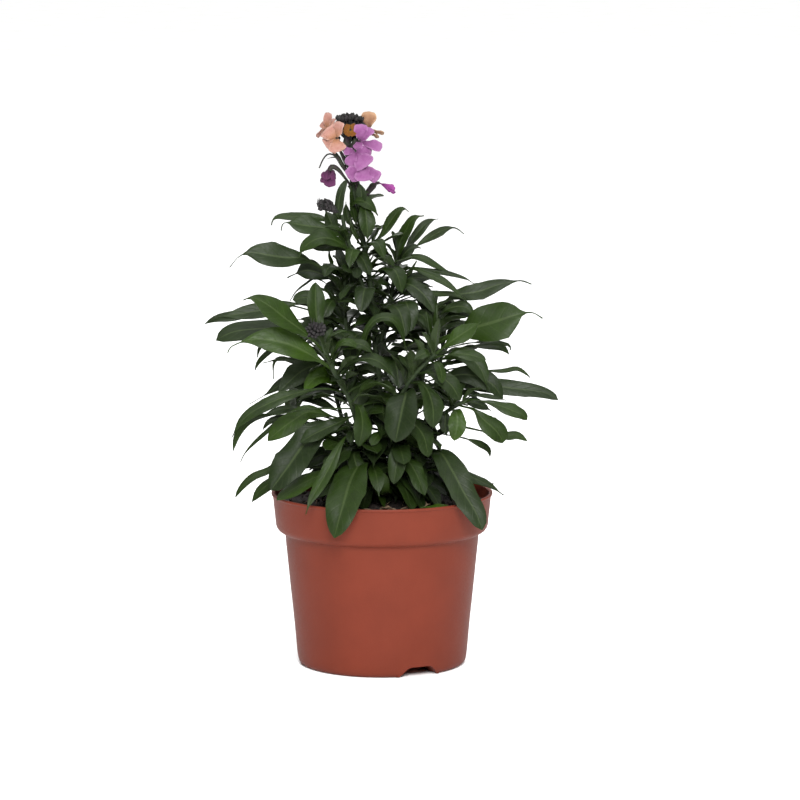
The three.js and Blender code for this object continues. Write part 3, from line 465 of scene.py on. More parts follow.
        (256, 5, -80, "lance", 0.1, (-18.5, -4, 261.4), (-20.5, -4, 267.4), (-20.8, -4, 273.4)),
        (216, 7, -80, "lance", 0.05, (-14, -4, 222.5), (-16.9, -6, 227.7), (-17.9, -6, 233.7)),
        (200, 8, 60, "broad", 0.1, (-2, -6, 206.8), (4, -8, 211), (9, -9, 209.2)),
    ],
}
SIDE_LEAVES = [leaf(stem, *row) for stem, rows in SIDE_ROWS.items() for row in rows]


# The leafy stretch of each stem, which fills the plant between its outer leaves: the heights it
# starts and ends at, how many leaves it has, and the shortest and longest of them.
class Shoot(NamedTuple):
    low: float
    high: float
    leaves: int
    short: float
    long: float


SHOOTS = {
    "main_stem": Shoot(112, 276, 62, 18, 50),
    "left_stem": Shoot(106, 232, 46, 22, 50),
    "left_front_stem": Shoot(104, 196, 40, 16, 46),
    "left_low_stem": Shoot(101, 151, 22, 26, 44),
    "right_front_stem": Shoot(103, 186, 38, 16, 46),
    "right_low_stem": Shoot(101, 158, 26, 20, 42),
    "right_stem": Shoot(104, 215, 46, 22, 50),
    "back_left_stem": Shoot(102, 190, 44, 22, 50),
    "back_right_stem": Shoot(102, 198, 44, 22, 50),
    "back_stem": Shoot(102, 206, 44, 22, 50),
    "left_bud_stem": Shoot(212, 258, 16, 16, 30),
    "upper_right_stem": Shoot(196, 241, 26, 20, 38),
}
# The young shoot: the height it starts at, its leaves' width, and the length and the lean of each.
YOUNG_FOOT_Z = 189
YOUNG_WIDTH = 5.5
YOUNG_LEAVES = [(29, 0.0), (25, 0.12), (22, 0.2), (18, 0.3), (14, 0.42)]
# How far to the left and to the right the inner leaves may reach at each height.
OUTLINE = [
    (80, -66, 62), (97, -84, 62), (103, -86, 72), (130, -88, 66), (140, -88, 84), (160, -84, 100),
    (175, -74, 92), (190, -96, 76), (204, -100, 88), (214, -90, 92), (222, -82, 88), (234, -66, 52),
    (240, -86, 46), (256, -60, 46), (266, -62, 22), (272, -38, 14), (280, -26, 0), (300, -24, -10),
]
# Places that can be seen through from the front, as the least and greatest x and z of each.
OPEN_PLACES = [
    (-11, -5, 280, 288), (-23, -18, 259, 281), (-38, -29, 258, 262), (20, 32, 250, 259),
    (-18, -15, 246, 253), (-44, -31, 236, 246), (21, 28, 234, 237), (9, 12, 222, 230), (28, 44, 220, 226),
    (-55, -42, 205, 211), (-79, -63, 199, 204), (-71, -63, 180, 189), (-63, -55, 167, 179),
    (41, 44, 173, 179), (53, 58, 174, 179), (2, 8, 172, 177), (-12, -8, 171, 176), (-56, -48, 160, 164),
    (56, 66, 157, 160), (-39, -21, 146, 153), (44, 61, 140, 151), (25, 40, 145, 149), (-43, -38, 145, 149),
    (-52, -41, 219, 226), (-38, -31, 224, 228), (-5, 8, 263, 274), (49, 60, 211, 216), (60, 73, 173, 186),
    (-68, -51, 120, 135), (70, 78, 187, 195), (-22, -19, 260, 281), (27, 33, 242, 248),
    (-25, -15, 143, 149), (34, 38, 139, 142), (-11, -6, 136, 140), (36, 62, 126, 136), (47, 62, 112, 126),
    (-86, -62, 112, 124),
]
DEPTH_LIMITS = (-70, 84)
# Heights and distances from the pot's axis that inner leaves keep out of, round the compost and the lip.
SOIL_CLEAR_Z = SOIL_TOP + 2
SOIL_CLEAR_R = 67
LIP_CLEAR_Z = 104
LIP_CLEAR_R = (59, 68)


# Flowers: the height of the stalk on the main stem, the centre, the way it faces, its colour and
# its petals, each with the spot that its tip reaches, its width and its roll about its own length.
class Flower(NamedTuple):
    height: float
    centre: tuple
    faces: tuple
    colour: str
    petals: list


FLOWERS = {
    "flower_1": Flower(
        296, (-26.4, -11, 310.9), (-0.15, -0.97, 0.1), "apricot",
        [
            ((-24.4, -12.5, 320.9), 7.4, -25), ((-31.6, -9.5, 317), 12, 8), ((-31.9, -10.5, 305.4), 12, 12),
            ((-25, -13.5, 303.2), 10, -15),
        ],
    ),
    "flower_2": Flower(
        299, (-31.5, 0, 315), (-0.5, -0.6, 0.5), "apricot",
        [
            ((-30.7, -1, 325.1), 5, 40), ((-38, -4, 311.2), 4.5, 78), ((-28, 7, 321), 6, 0),
            ((-34.5, 3, 319.5), 5.5, 0),
        ],
    ),
    "flower_3": Flower(
        301, (-18, -9.5, 315.6), (0.05, -0.85, 0.5), "orange",
        [
            ((-21.8, -9.5, 317.4), 5.5, 0), ((-14.4, -9.5, 317.9), 5.5, 0), ((-21, -11.5, 313), 5, 0),
            ((-15.2, -11.5, 312.8), 5, 0),
        ],
    ),
    "flower_4": Flower(
        298, (-9.5, 3, 314), (0.35, -0.8, 0.3), "tawny",
        [
            ((-7.4, 3.5, 325.4), 9, -30), ((1.3, 2, 312.1), 4.5, 80), ((-2, 4, 309.6), 4, 85),
            ((-13, 8, 322), 7, 0),
        ],
    ),
    "flower_5": Flower(
        290, (-12.6, -10, 309), (0.2, -0.95, 0.15), "mauve",
        [
            ((-11.9, -10, 319.2), 8.6, 0), ((-6.6, -8, 317), 7, -35), ((0.4, -12, 305.8), 6.6, -15),
            ((-15, -10.5, 304), 6, 30),
        ],
    ),
    "flower_6": Flower(
        283, (-15.3, -11.5, 303.6), (-0.05, -0.95, 0.2), "mauve",
        [
            ((-22.2, -11, 303.6), 5, 15), ((-18.8, -13, 294.9), 7, 0), ((-8.6, -13.5, 294.6), 12, 0),
            ((-5.6, -10.5, 304.2), 6.5, 0),
        ],
    ),
    "flower_7": Flower(
        277, (-11, -11, 295), (0.15, -0.9, -0.3), "mauve",
        [
            ((-19.6, -13, 288.2), 10.5, 0), ((-10, -14, 286.2), 11, 0), ((-1.6, -12.5, 287.2), 8, 0),
            ((-17.4, -10.5, 294.2), 6, 0),
        ],
    ),
}


# Heads of closed buds: the stem, the middle of the head, the way it points, its radius, its length
# and how many buds and pale spikes it has.
class BudHead(NamedTuple):
    stem: str
    middle: tuple
    axis: tuple
    radius: float
    length: float
    buds: int
    spikes: int


BUD_HEADS = {
    "top_bud_head": BudHead("main_stem", (-18.6, 1, 316.8), (0, 0, 1), 7.8, 12.4, 84, 0),
    "left_bud_head": BudHead("left_bud_stem", (-31.4, -6, 271.3), (-0.97, 0, 0.1), 2.5, 10, 42, 4),
    "front_bud_head": BudHead("left_front_stem", (-38, -49, 203.6), (-0.2, -0.4, 0.9), 5.2, 4.5, 40, 5),
}


# Small tools for modelling


def deselect_all():
    for item in bpy.context.selected_objects:
        item.select_set(False)


def make_active(piece):
    deselect_all()
    piece.select_set(True)
    bpy.context.view_layer.objects.active = piece
    return piece


def added(name):
    """Names the primitive that was just added."""
    piece = bpy.context.active_object
    piece.name = name
    piece.data.name = name
    return piece


def settle(piece):
    """Puts a piece's place, turn and size into its mesh."""
    make_active(piece)
    bpy.ops.object.transform_apply(location=True, rotation=True, scale=True)
    return piece


def apply_modifier(piece, kind, **settings):
    make_active(piece)
    modifier = piece.modifiers.new(kind.title(), kind)
    for key, value in settings.items():
        setattr(modifier, key, value)
    bpy.ops.object.modifier_apply(modifier=modifier.name)
    return piece


def linked(name, data):
    """A new object on some data, put into the scene."""
    piece = bpy.data.objects.new(name, data)
    bpy.context.scene.collection.objects.link(piece)
    return piece


def join(pieces, name):
    deselect_all()
    for piece in pieces:
        piece.select_set(True)
    bpy.context.view_layer.objects.active = pieces[0]
    if len(pieces) > 1:
        bpy.ops.object.join()
    return added(name)


def smooth(piece, angle):
    make_active(piece)
    bpy.ops.object.shade_smooth_by_angle(angle=math.radians(angle))
    return piece


def dress(piece, material):
    piece.data.materials.clear()
    piece.data.materials.append(material)
    return piece


def place_in_plant(piece, slot, *nodes):
    """Lets a finished piece ride on the plant and stand for the named solids. Its slot is not used."""
    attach(piece, "root")
    if nodes:
        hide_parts(*nodes)
    return piece


def finish_piece(piece, material, slot, *nodes, crease=None):
    """Smooths a piece up to a crease angle, and gives it its material and its place."""
    if crease:
        smooth(piece, crease)
    dress(piece, material)
    place_in_plant(piece, slot, *nodes)


def smooth_line(points, steps):
    """Evenly spaced points on a smooth line through the given ones."""
    knots = [Vector(p) for p in points]
    before = knots[0] * 2 - knots[1]
    after = knots[-1] * 2 - knots[-2]
    padded = [before, *knots, after]
    dense = []
    for a, b, c, d in zip(padded, padded[1:], padded[2:], padded[3:]):
        reach = (c - b).length / 3
        leave, arrive = b + (c - a).normalized() * reach, c - (d - b).normalized() * reach
        dense += interpolate_bezier(b, leave, arrive, c, 12)[:-1]
    dense.append(knots[-1])
    spots = np.array(dense)
    far = np.concatenate([[0], np.cumsum(np.linalg.norm(np.diff(spots, axis=0), axis=1))])
    at = np.linspace(0, far[-1], steps + 1)
    return [Vector([np.interp(s, far, spots[:, k]) for k in range(3)]) for s in at]


class Line(NamedTuple):
    at: list
    side: list
    normal: list


def framed_line(points, roll=0.0, steps=30, up=UP):
    """A smooth line with a side and a normal at each step, which never spin about it.

    The normal is as near to up as it can be half way along, and is then rolled."""
    at = smooth_line(points, steps)
    along = [(at[min(i + 1, steps)] - at[max(i - 1, 0)]).normalized() for i in range(steps + 1)]
    middle = steps // 2
    normal = [None] * (steps + 1)
    start = up - along[middle] * up.dot(along[middle])
    normal[middle] = Quaternion(along[middle], math.radians(roll)) @ start.normalized()
    for i in range(middle, steps):
        normal[i + 1] = along[i].rotation_difference(along[i + 1]) @ normal[i]
    for i in range(middle, 0, -1):
        normal[i - 1] = along[i].rotation_difference(along[i - 1]) @ normal[i]
    side = [n.cross(a) for n, a in zip(normal, along)]
    return Line(at, side, normal)


def lay_along(shape, line, half_width):
    """Lays points of (share along, across, up) on a line: the last two are in half widths."""
    steps = len(line.at) - 1
    at, side, normal = np.array(line.at), np.array(line.side), np.array(line.normal)
    share = np.clip(shape[:, 0], 0, 1) * steps
    low = np.minimum(share.astype(int), steps - 1)
    mix = (share - low)[:, None]

    def between(rows):
        return rows[low] * (1 - mix) + rows[low + 1] * mix

    across, up = shape[:, 1:2] * half_width, shape[:, 2:3] * half_width
    return between(at) + between(side) * across + between(normal) * up


def read_vertices(mesh):
    spots = np.empty(len(mesh.vertices) * 3)
    mesh.vertices.foreach_get("co", spots)
    return spots.reshape(-1, 3)


def write_vertices(mesh, spots):
    mesh.vertices.foreach_set("co", np.ascontiguousarray(spots, dtype=float).ravel())
    mesh.update()


def get_attribute(mesh, name, field="value", width=1):
    values = np.empty(len(mesh.vertices) * width)
    mesh.attributes[name].data.foreach_get(field, values)
    return values


def set_attribute(mesh, name, values):
    attribute = mesh.attributes.get(name) or mesh.attributes.new(name, "FLOAT", "POINT")
    attribute.data.foreach_set("value", np.ascontiguousarray(values, dtype=float))


# Materials


def colour(hex_code):
    """A linear colour from an sRGB hex code."""
    parts = [int(hex_code[i : i + 2], 16) / 255 for i in (1, 3, 5)]
    return tuple(p / 12.92 if p <= 0.04045 else ((p + 0.055) / 1.055) ** 2.4 for p in parts)


def node(tree, kind, links=None, **settings):
    """Adds a shader node: settings by name, inputs as values, colour codes or other sockets."""
    made = tree.nodes.new(kind)
    for key, value in settings.items():
        setattr(made, key, value)
    for socket, value in (links or {}).items():
        target = made.inputs[socket]
        if isinstance(value, bpy.types.NodeSocket):
            tree.links.new(value, target)
        elif isinstance(value, str):
            target.default_value = (*colour(value), 1)
        else:
            target.default_value = value
    return made


def blank_material(name, **surface):
    material = bpy.data.materials.new(name)
    material.use_nodes = True
    tree = material.node_tree
    shader = tree.nodes["Principled BSDF"]
    for socket, value in surface.items():
        shader.inputs[socket.replace("_", " ")].default_value = value
    return material, tree, shader


def per_mm(size):
    """The scale of a pattern whose features are about this many millimetres across."""
    return 1 / (size * MM)


def noise(tree, size, detail=3.0, roughness=0.55):
    where = node(tree, "ShaderNodeTexCoord").outputs["Object"]
    spec = {"Vector": where, "Scale": per_mm(size), "Detail": detail, "Roughness": roughness}
    return node(tree, "ShaderNodeTexNoise", spec).outputs["Fac"]


def ramp(tree, value, low, high, to_low=0.0, to_high=1.0):
    spec = {"Value": value, "From Min": low, "From Max": high, "To Min": to_low, "To Max": to_high}
    return node(tree, "ShaderNodeMapRange", spec).outputs["Result"]


def maths(tree, operation, a, b=0.0):
    return node(tree, "ShaderNodeMath", {0: a, 1: b}, operation=operation).outputs[0]


def times(tree, a, b):
    return maths(tree, "MULTIPLY", a, b)


def mix(tree, share, a, b):
    """Two colours mixed: the node keeps those of its sockets in places 6 and 7."""
    return node(tree, "ShaderNodeMix", {0: share, 6: a, 7: b}, data_type="RGBA", clamp_factor=True).outputs[2]


def bump(tree, shader, height, depth):
    made = node(tree, "ShaderNodeBump", {"Height": height, "Distance": depth * MM, "Strength": 1})
    tree.links.new(made.outputs["Normal"], shader.inputs["Normal"])


def paint(tree, shader, base):
    tree.links.new(base, shader.inputs["Base Color"])


def blade_map(tree):
    """Where a spot lies along and across its blade, and how far from the midrib towards the margin."""
    uv = node(tree, "ShaderNodeSeparateXYZ", {0: node(tree, "ShaderNodeUVMap", uv_map="blade").outputs[0]})
    along, across = uv.outputs["X"], uv.outputs["Y"]
    from_middle = maths(tree, "ABSOLUTE", maths(tree, "SUBTRACT", across, 0.5))
    return along, across, times(tree, from_middle, 2.0)


def moulded_polypropylene():
    """Terracotta-coloured polypropylene: a soft sheen, and a faint cloudiness from the mould."""
    props = bpy.context.scene.wallflower_pot
    material, tree, shader = blank_material("moulded_polypropylene", Specular_IOR_Level=0.12)
    cloud = ramp(tree, noise(tree, 26), 0.3, 0.7)
    grain = noise(tree, 1.1, detail=4)
    base = mix(tree, times(tree, cloud, 0.35), (*props.shell_colour, 1), "#4f1f14")
    base = mix(tree, ramp(tree, grain, 0.35, 0.7, 0.0, 0.12), base, "#6a3324")
    paint(tree, shader, base)
    tree.links.new(ramp(tree, grain, 0.3, 0.7, 0.5, 0.62), shader.inputs["Roughness"])
    bump(tree, shader, grain, 0.05)
    return material


def peat_compost():
    """Moist peat: nearly black, with brown fibres and a broken, matt surface."""
    material, tree, shader = blank_material("peat_compost", Roughness=0.92)
    lumps = noise(tree, 3.2, detail=6, roughness=0.7)
    fibres = noise(tree, 0.8, detail=3)
    base = mix(tree, ramp(tree, lumps, 0.35, 0.65), "#0d0907", "#291d16")
    base = mix(tree, ramp(tree, fibres, 0.6, 0.75, 0.0, 0.5), base, "#423124")
    paint(tree, shader, base)
    bump(tree, shader, lumps, 1.2)
    return material


def dry_litter():
    """Dead leaf scraps and bark: papery light brown."""
    material, tree, shader = blank_material("dry_litter", Roughness=0.8)
    flecks = noise(tree, 2.5, detail=4)
    paint(tree, shader, mix(tree, ramp(tree, flecks, 0.35, 0.65), "#433123", "#73614a"))
    bump(tree, shader, flecks, 0.3)
    return material


def green_stem():
    """Ribbed herb stem: grey-green with fine pressed hairs, which make it matt and slightly pale."""
    material, tree, shader = blank_material("green_stem", Roughness=0.65, Specular_IOR_Level=0.2)
    streak = noise(tree, 4, detail=4)
    base = mix(tree, ramp(tree, streak, 0.35, 0.65), "#172210", "#2a351f")
    paint(tree, shader, base)
    bump(tree, shader, noise(tree, 0.5), 0.1)
    return material


def leaf_blade():
    """Wallflower leaf: deep green and slightly waxy over fine pressed hairs, with a pale midrib.

    Its own UV map runs along and across the blade, and its tone, which is partly painted light and
    shade, and its underside are attributes."""
    props = bpy.context.scene.wallflower_plant
    material, tree, shader = blank_material("leaf_blade", Specular_IOR_Level=0.16)
    along, _, across = blade_map(tree)
    tone = node(tree, "ShaderNodeAttribute", attribute_name="tone").outputs["Fac"]
    under = node(tree, "ShaderNodeAttribute", attribute_name="underside").outputs["Fac"]
    patches = ramp(tree, noise(tree, 9, detail=3), 0.3, 0.7)
    fine = noise(tree, 1.2, detail=3)

    # The tone picks between deep and bright green: partly the leaf's own colour, partly painted light and shade.
    green = mix(tree, tone, (*props.deep_green, 1), (*props.bright_green, 1))
    green = mix(tree, times(tree, patches, 0.45), green, "#0a1105")
    green = mix(tree, ramp(tree, fine, 0.45, 0.8, 0.0, 0.15), green, "#252f16")
    # The midrib narrows from the leaf's foot to its tip, and side veins leave it at a slant.
    rib_half = ramp(tree, along, 0.0, 1.0, 0.1, 0.012)
    rib = ramp(tree, maths(tree, "SUBTRACT", across, rib_half), 0.0, 0.05, 1.0, 0.0)
    aside = times(tree, across, 1.6)
    slant = maths(tree, "SUBTRACT", times(tree, along, 11.0), aside)
    vein = ramp(tree, maths(tree, "PINGPONG", slant, 0.5), 0.0, 0.09, 1.0, 0.0)
    green = mix(tree, times(tree, vein, 0.09), green, "#374320")
    green = mix(tree, times(tree, rib, 0.26), green, (*props.midrib_green, 1))
    base = mix(tree, times(tree, under, 0.45), green, "#252f18")
    paint(tree, shader, base)
    tree.links.new(ramp(tree, fine, 0.3, 0.7, 0.4, 0.55), shader.inputs["Roughness"])
    relief = maths(tree, "ADD", times(tree, vein, -0.5), fine)
    bump(tree, shader, relief, 0.12)
    return material


def petal(name, inner, outer, edge, vein_colour):
    """Petal: thin and velvety, with fine veins that run out from its foot. Its paler rim is partly its own and
    partly painted highlight, and the darker foot of most colours is painted shade in the flower's throat.
    """
    material, tree, shader = blank_material(name, Roughness=0.7, Specular_IOR_Level=0.2, Sheen_Weight=0.04)
    along, across, side = blade_map(tree)
    # Towards the foot most finishes darken: painted shade in the flower's throat.
    base = mix(tree, ramp(tree, along, 0.15, 0.75), inner, outer)
    # The paler rim is partly painted highlight along the petal's edge.
    base = mix(tree, ramp(tree, along, 0.8, 1.0, 0.0, 0.7), base, edge)
    base = mix(tree, ramp(tree, side, 0.7, 1.0, 0.0, 0.8), base, edge)
    wave = maths(tree, "PINGPONG", times(tree, across, 13.0), 0.5)
    fading = ramp(tree, along, 0.3, 1.0, 0.6, 0.2)
    vein = times(tree, ramp(tree, wave, 0.0, 0.16, 1.0, 0.0), fading)
    base = mix(tree, vein, base, vein_colour)
    base = mix(tree, ramp(tree, noise(tree, 2.5), 0.4, 0.75, 0.0, 0.35), base, edge)
    paint(tree, shader, base)
    bump(tree, shader, maths(tree, "ADD", wave, noise(tree, 2.0)), 0.2)
    return material


def sepal():
    """Calyx and flower stalk: green flushed with dull purple."""
    material, tree, shader = blank_material("sepal", Roughness=0.65, Specular_IOR_Level=0.2)
    flush = ramp(tree, noise(tree, 3, detail=3), 0.35, 0.65)
    paint(tree, shader, mix(tree, flush, "#242a1c", "#2a1c25"))
    bump(tree, shader, noise(tree, 0.6), 0.08)
    return material


def closed_bud():
    """Closed bud: grey-purple with a greenish foot, flecked with pale grey that paints highlights on the little
    buds.
    """
    material, tree, shader = blank_material("closed_bud", Roughness=0.7, Specular_IOR_Level=0.2)
    patch = ramp(tree, noise(tree, 2.2, detail=3), 0.35, 0.65)
    base = mix(tree, patch, "#161815", "#2a2528")
    # Pale grey flecks: painted highlights on the little buds.
    base = mix(tree, ramp(tree, noise(tree, 0.7), 0.55, 0.8, 0.0, 0.45), base, "#4b4b45")
    paint(tree, shader, base)
    bump(tree, shader, noise(tree, 0.7), 0.15)
    return material


def studio_sweep():
    """Matt white studio paper."""
    material, tree, shader = blank_material("studio_sweep", Roughness=0.9, Specular_IOR_Level=0.1)
    fibre = noise(tree, 40, detail=2)
    paint(tree, shader, mix(tree, ramp(tree, fibre, 0.3, 0.7), "#fbfbfa", "#ffffff"))
    return material


MATERIALS = {}


def finish(name, maker, *details):
    if name not in MATERIALS:
        MATERIALS[name] = maker(*details)
    return MATERIALS[name]


# Petal finishes: name, colour at the foot, colour of the blade, of its rim and of its veins. The darker feet are
# painted shade in the throat, and the paler rims are partly painted highlight.
PETAL_FINISHES = {
    "apricot": ("apricot_petal", "#875e3c", "#8a6157", "#9d7d73", "#6c3d31"),
    "tawny": ("tawny_petal", "#503427", "#815d45", "#a28569", "#462922"),
    "orange": ("amber_petal", "#745002", "#5c3201", "#643e03", "#240d01"),
    "mauve": ("mauve_petal", "#55264f", "#72406c", "#875d82", "#4c2448"),
    "magenta": ("magenta_petal", "#51174b", "#752a6c", "#894681", "#40103b"),
    "plum": ("plum_petal", "#280d23", "#471d3e", "#562a4b", "#170615"),
}


def petal_finish(kind):
    details = PETAL_FINISHES[kind]
    return finish(details[0], petal, *details)


# Blades: the flat shapes that leaves and petals are copied from, modelled one unit long


class BladeShape(NamedTuple):
    neck: float  # share of the length that is a stalk
    belly: float  # the larger, the later the blade is widest
    point: float  # the larger, the more slender the tip
    stalk: float  # the stalk's width as a share of the blade's
    tail: float = 0  # share of the length that is a narrow, drawn-out tip


FINE_GRID = (28, 8)
PLAIN_GRID = (14, 4)
LEAF_SHAPES = {
    "lance": BladeShape(0.18, 1.45, 1.0, 0.12, 0.05),
    "tailed": BladeShape(0.26, 1.4, 1.0, 0.12, 0.16),
    "kite": BladeShape(0.38, 1.0, 0.9, 0.15, 0.12),
    "strap": BladeShape(0.2, 0.6, 0.5, 0.12),
    "early": BladeShape(0.14, 1.05, 1.2, 0.12, 0.14),
    "spatula": BladeShape(0.55, 1.1, 0.9, 0.22),
    "spoon": BladeShape(0.28, 1.3, 0.6, 0.14),
    "broad": BladeShape(0.12, 1.25, 0.72, 0.12),
    "young": BladeShape(0.05, 0.85, 0.8, 0.3),
}
PETAL_SHAPE = BladeShape(0.08, 0.95, 0.3, 0.2)
TIP_SHARE = 0.03  # half the width at the very tip
BLADE_CREASE = 70  # edges that turn by less, in degrees, look smooth
ROUND_CREASE = 60
MARGIN_DROOP = 0.16  # how far the margins hang, as a share of the half width
MARGIN_WANDER = 0.06  # how far they stray in and out, as the same share
TOOTH = 1.07  # how much wider a blade is at a tooth
BLADE_THICK = 0.35
PETAL_THICK = 0.22
MIDRIB_DEPTH = 0.5
MIDRIB_SHARE = 0.3  # how much of the blade's half width the midrib's swelling takes
BUD_R = 1.05
BUD_HALF = 1.8
HEAD_COVER = 1.45  # share of a head's half height, down from its top, that buds stand on


def outline(shape, u):
    """Half the blade's width at a share of its length, where 1 is the widest."""
    if u <= 0:
        return shape.stalk
    if u >= 1:
        return TIP_SHARE
    t = min(max((u - shape.neck) / (1 - shape.neck - shape.tail), 0), 1)
    widest = shape.belly / (shape.belly + shape.point)
    peak = widest**shape.belly * (1 - widest) ** shape.point
    blade = t**shape.belly * (1 - t) ** shape.point / peak
    return max(blade, shape.stalk * (1 - u) ** 0.5, 0.5 * shape.tail * (1 - u) ** 0.3)


def blade_master(name, shape, grid):
    """A grid primitive, one unit long, whose rows are drawn in to the outline."""
    rows, columns = grid
    deselect_all()
    bpy.ops.mesh.primitive_grid_add(x_subdivisions=rows, y_subdivisions=columns, size=2)
    piece = added(name)
    piece.data.uv_layers[0].name = "blade"
    set_attribute(piece.data, "across", read_vertices(piece.data)[:, 1])
    bpy.ops.object.mode_set(mode="EDIT")
    bpy.ops.transform.resize(value=(0.5, 1, 1), center_override=(-1, 0, 0))
    bpy.ops.transform.translate(value=(1, 0, 0))
    bpy.ops.mesh.select_mode(type="VERT")
    for row in range(rows + 1):
        share = row / rows
        mesh = bmesh.from_edit_mesh(piece.data)
        for vertex in mesh.verts:
            vertex.select_set(abs(vertex.co.x - share) < 0.4 / rows)
        mesh.select_flush_mode()
        bmesh.update_edit_mesh(piece.data)
        bpy.ops.transform.resize(value=(1, outline(shape, share), 1), center_override=(share, 0, 0))
    bpy.ops.object.mode_set(mode="OBJECT")
    piece.hide_render = True
    return piece


MASTERS = {}


def cast_blade(name, master, line, width, rng, fold=0.2, wave=0.1, teeth=0, tone=0.35):
    """A copy of a master blade, laid along its midrib with its own folds, waves and teeth."""
    piece = linked(name, MASTERS[master].data.copy())
    mesh = piece.data
    flat = read_vertices(mesh)
    across = get_attribute(mesh, "across")
    along, half = flat[:, 0], np.abs(flat[:, 1])
    side = np.sign(across)
    lift = half * fold - MARGIN_DROOP * half * across**2
    # Each half of the blade has waves of its own.
    phase = np.where(side > 0, rng.uniform(0, 6.28), rng.uniform(0, 6.28))
    rate = rng.uniform(1.8, 3.2)
    body = np.sin(np.pi * np.clip(along, 0, 1)) ** 0.5
    lift += wave * across**2 * body * np.sin(2 * np.pi * rate * along + phase)
    shape = np.column_stack([along, flat[:, 1], lift])
    shape[:, 1] *= 1 + MARGIN_WANDER * np.sin(2 * np.pi * rate * 0.7 * along + phase[::-1])
    at_margin = np.abs(across) > 0.99
    for _ in range(teeth):
        where = rng.uniform(0.3, 0.8)
        near = at_margin & (side == rng.choice((-1, 1))) & (np.abs(along - where) < 0.5 / FINE_GRID[0])
        shape[near, 1] *= TOOTH
    spots = lay_along(shape, line, width / 2)
    rise = lay_along(shape + [0, 0, 1], line, 1.0) - lay_along(shape, line, 1.0)
    write_vertices(mesh, spots * MM)
    set_attribute(mesh, "tone", np.full(len(spots), tone))
    vectors = mesh.attributes.new("rise", "FLOAT_VECTOR", "POINT")
    vectors.data.foreach_set("vector", rise.ravel())
    return piece


def thicken(piece, thick, rib=MIDRIB_DEPTH):
    """Gives blades their thickness, tells their undersides apart and raises the midrib below."""
    mesh = piece.data
    top = len(mesh.vertices)
    apply_modifier(piece, "SOLIDIFY", thickness=thick * MM, offset=-1, use_even_offset=False)
    spots = read_vertices(mesh)
    rise = get_attribute(mesh, "rise", "vector", 3).reshape(-1, 3)
    across = get_attribute(mesh, "across")
    below = np.arange(len(spots)) >= top
    depth = np.where(below, rib * np.clip(1 - np.abs(across) / MIDRIB_SHARE, 0, 1), 0)
    write_vertices(mesh, spots - rise * depth[:, None] * MM)
    set_attribute(mesh, "underside", below.astype(float))
    for name in ("rise", "across"):
        mesh.attributes.remove(mesh.attributes[name])
    return piece


class AddBlades(bpy.types.Operator):
    """Model the flat blades that the leaves and petals are copied from"""

    bl_idname = "wallflower.add_blades"
    bl_label = "Add the blades"

    def execute(self, context):
        for name, shape in LEAF_SHAPES.items():
            MASTERS[name] = blade_master(name, shape, FINE_GRID)
            MASTERS[f"{name}_plain"] = blade_master(f"{name}_plain", shape, PLAIN_GRID)
        MASTERS["petal"] = blade_master("petal", PETAL_SHAPE, FINE_GRID)
        return {"FINISHED"}


class ClearBlades(bpy.types.Operator):
    """Clear away the blades that the leaves and petals were copied from"""

    bl_idname = "wallflower.clear_blades"
    bl_label = "Clear the blades"

    def execute(self, context):
        for piece in MASTERS.values():
            bpy.data.objects.remove(piece)
        MASTERS.clear()
        return {"FINISHED"}


def make_rod(name, points, radii, material, sides=3, steps=24, rough=0.0, seed=0):
    """A round rod along a smooth line, drawn as a curve and turned into a mesh."""
    rng = random.Random(seed)
    at = smooth_line(points, steps)
    deselect_all()
    shape = bpy.data.curves.new(name, "CURVE")
    shape.dimensions = "3D"
    shape.bevel_depth = MM
    shape.bevel_resolution = sides
    shape.use_fill_caps = True
    spline = shape.splines.new("POLY")
    spline.points.add(steps)
    for i, spot in enumerate(at):
        share = i / steps
        radius = float(np.interp(share, np.linspace(0, 1, len(radii)), radii))
        spline.points[i].co = (*(spot * MM), 1)
        spline.points[i].radius = radius * (1 + rng.uniform(-rough, rough))
    make_active(linked(name, shape))
    bpy.ops.object.convert(target="MESH")
    bpy.ops.object.mode_set(mode="EDIT")
    bpy.ops.mesh.select_all(action="SELECT")
    bpy.ops.mesh.remove_doubles(threshold=1e-6)
    bpy.ops.mesh.normals_make_consistent(inside=False)
    bpy.ops.object.mode_set(mode="OBJECT")
    return dress(added(name), material)


STEM_LINES = {}


def stem_line(name):
    if name not in STEM_LINES:
        STEM_LINES[name] = smooth_line(STEMS[name].points, 60)
    return STEM_LINES[name]


def stem_at(name, height):
    """The point on a stem's centreline at a height."""
    line = stem_line(name)
    heights = [p.z for p in line]
    return Vector([float(np.interp(height, heights, [p[k] for p in line])) for k in range(3)])


# The pot


def pot_ring(radius, height, last):
    """Extrudes the open edge of the pot to a ring of another radius and height."""
    bpy.ops.mesh.extrude_edges_move(TRANSFORM_OT_translate={"value": (0, 0, (height - last[1]) * MM)})
    scale = radius / last[0]
    bpy.ops.transform.resize(value=(scale, scale, 1), center_override=(0, 0, height * MM))
    return radius, height


def turned_shell(name, foot, rings):
    """A disc whose edge is extruded ring by ring, and closed with a last face."""
    deselect_all()
    bpy.ops.mesh.primitive_circle_add(vertices=POT_SIDES, radius=foot * MM, fill_type="NGON")
    piece = added(name)
    bpy.ops.object.mode_set(mode="EDIT")
    bpy.ops.mesh.select_mode(type="EDGE")
    bpy.ops.mesh.select_all(action="SELECT")
    bpy.ops.mesh.flip_normals()
    last = (foot, 0)
    for radius, height in rings:
        last = pot_ring(radius, height, last)
    bpy.ops.mesh.edge_face_add()
    bpy.ops.mesh.select_all(action="SELECT")
    bpy.ops.mesh.normals_make_consistent(inside=False)
    bpy.ops.object.mode_set(mode="OBJECT")
    return piece


def channel_turn(index):
    return FIRST_CHANNEL + index * 2 * math.pi / CHANNEL_COUNT


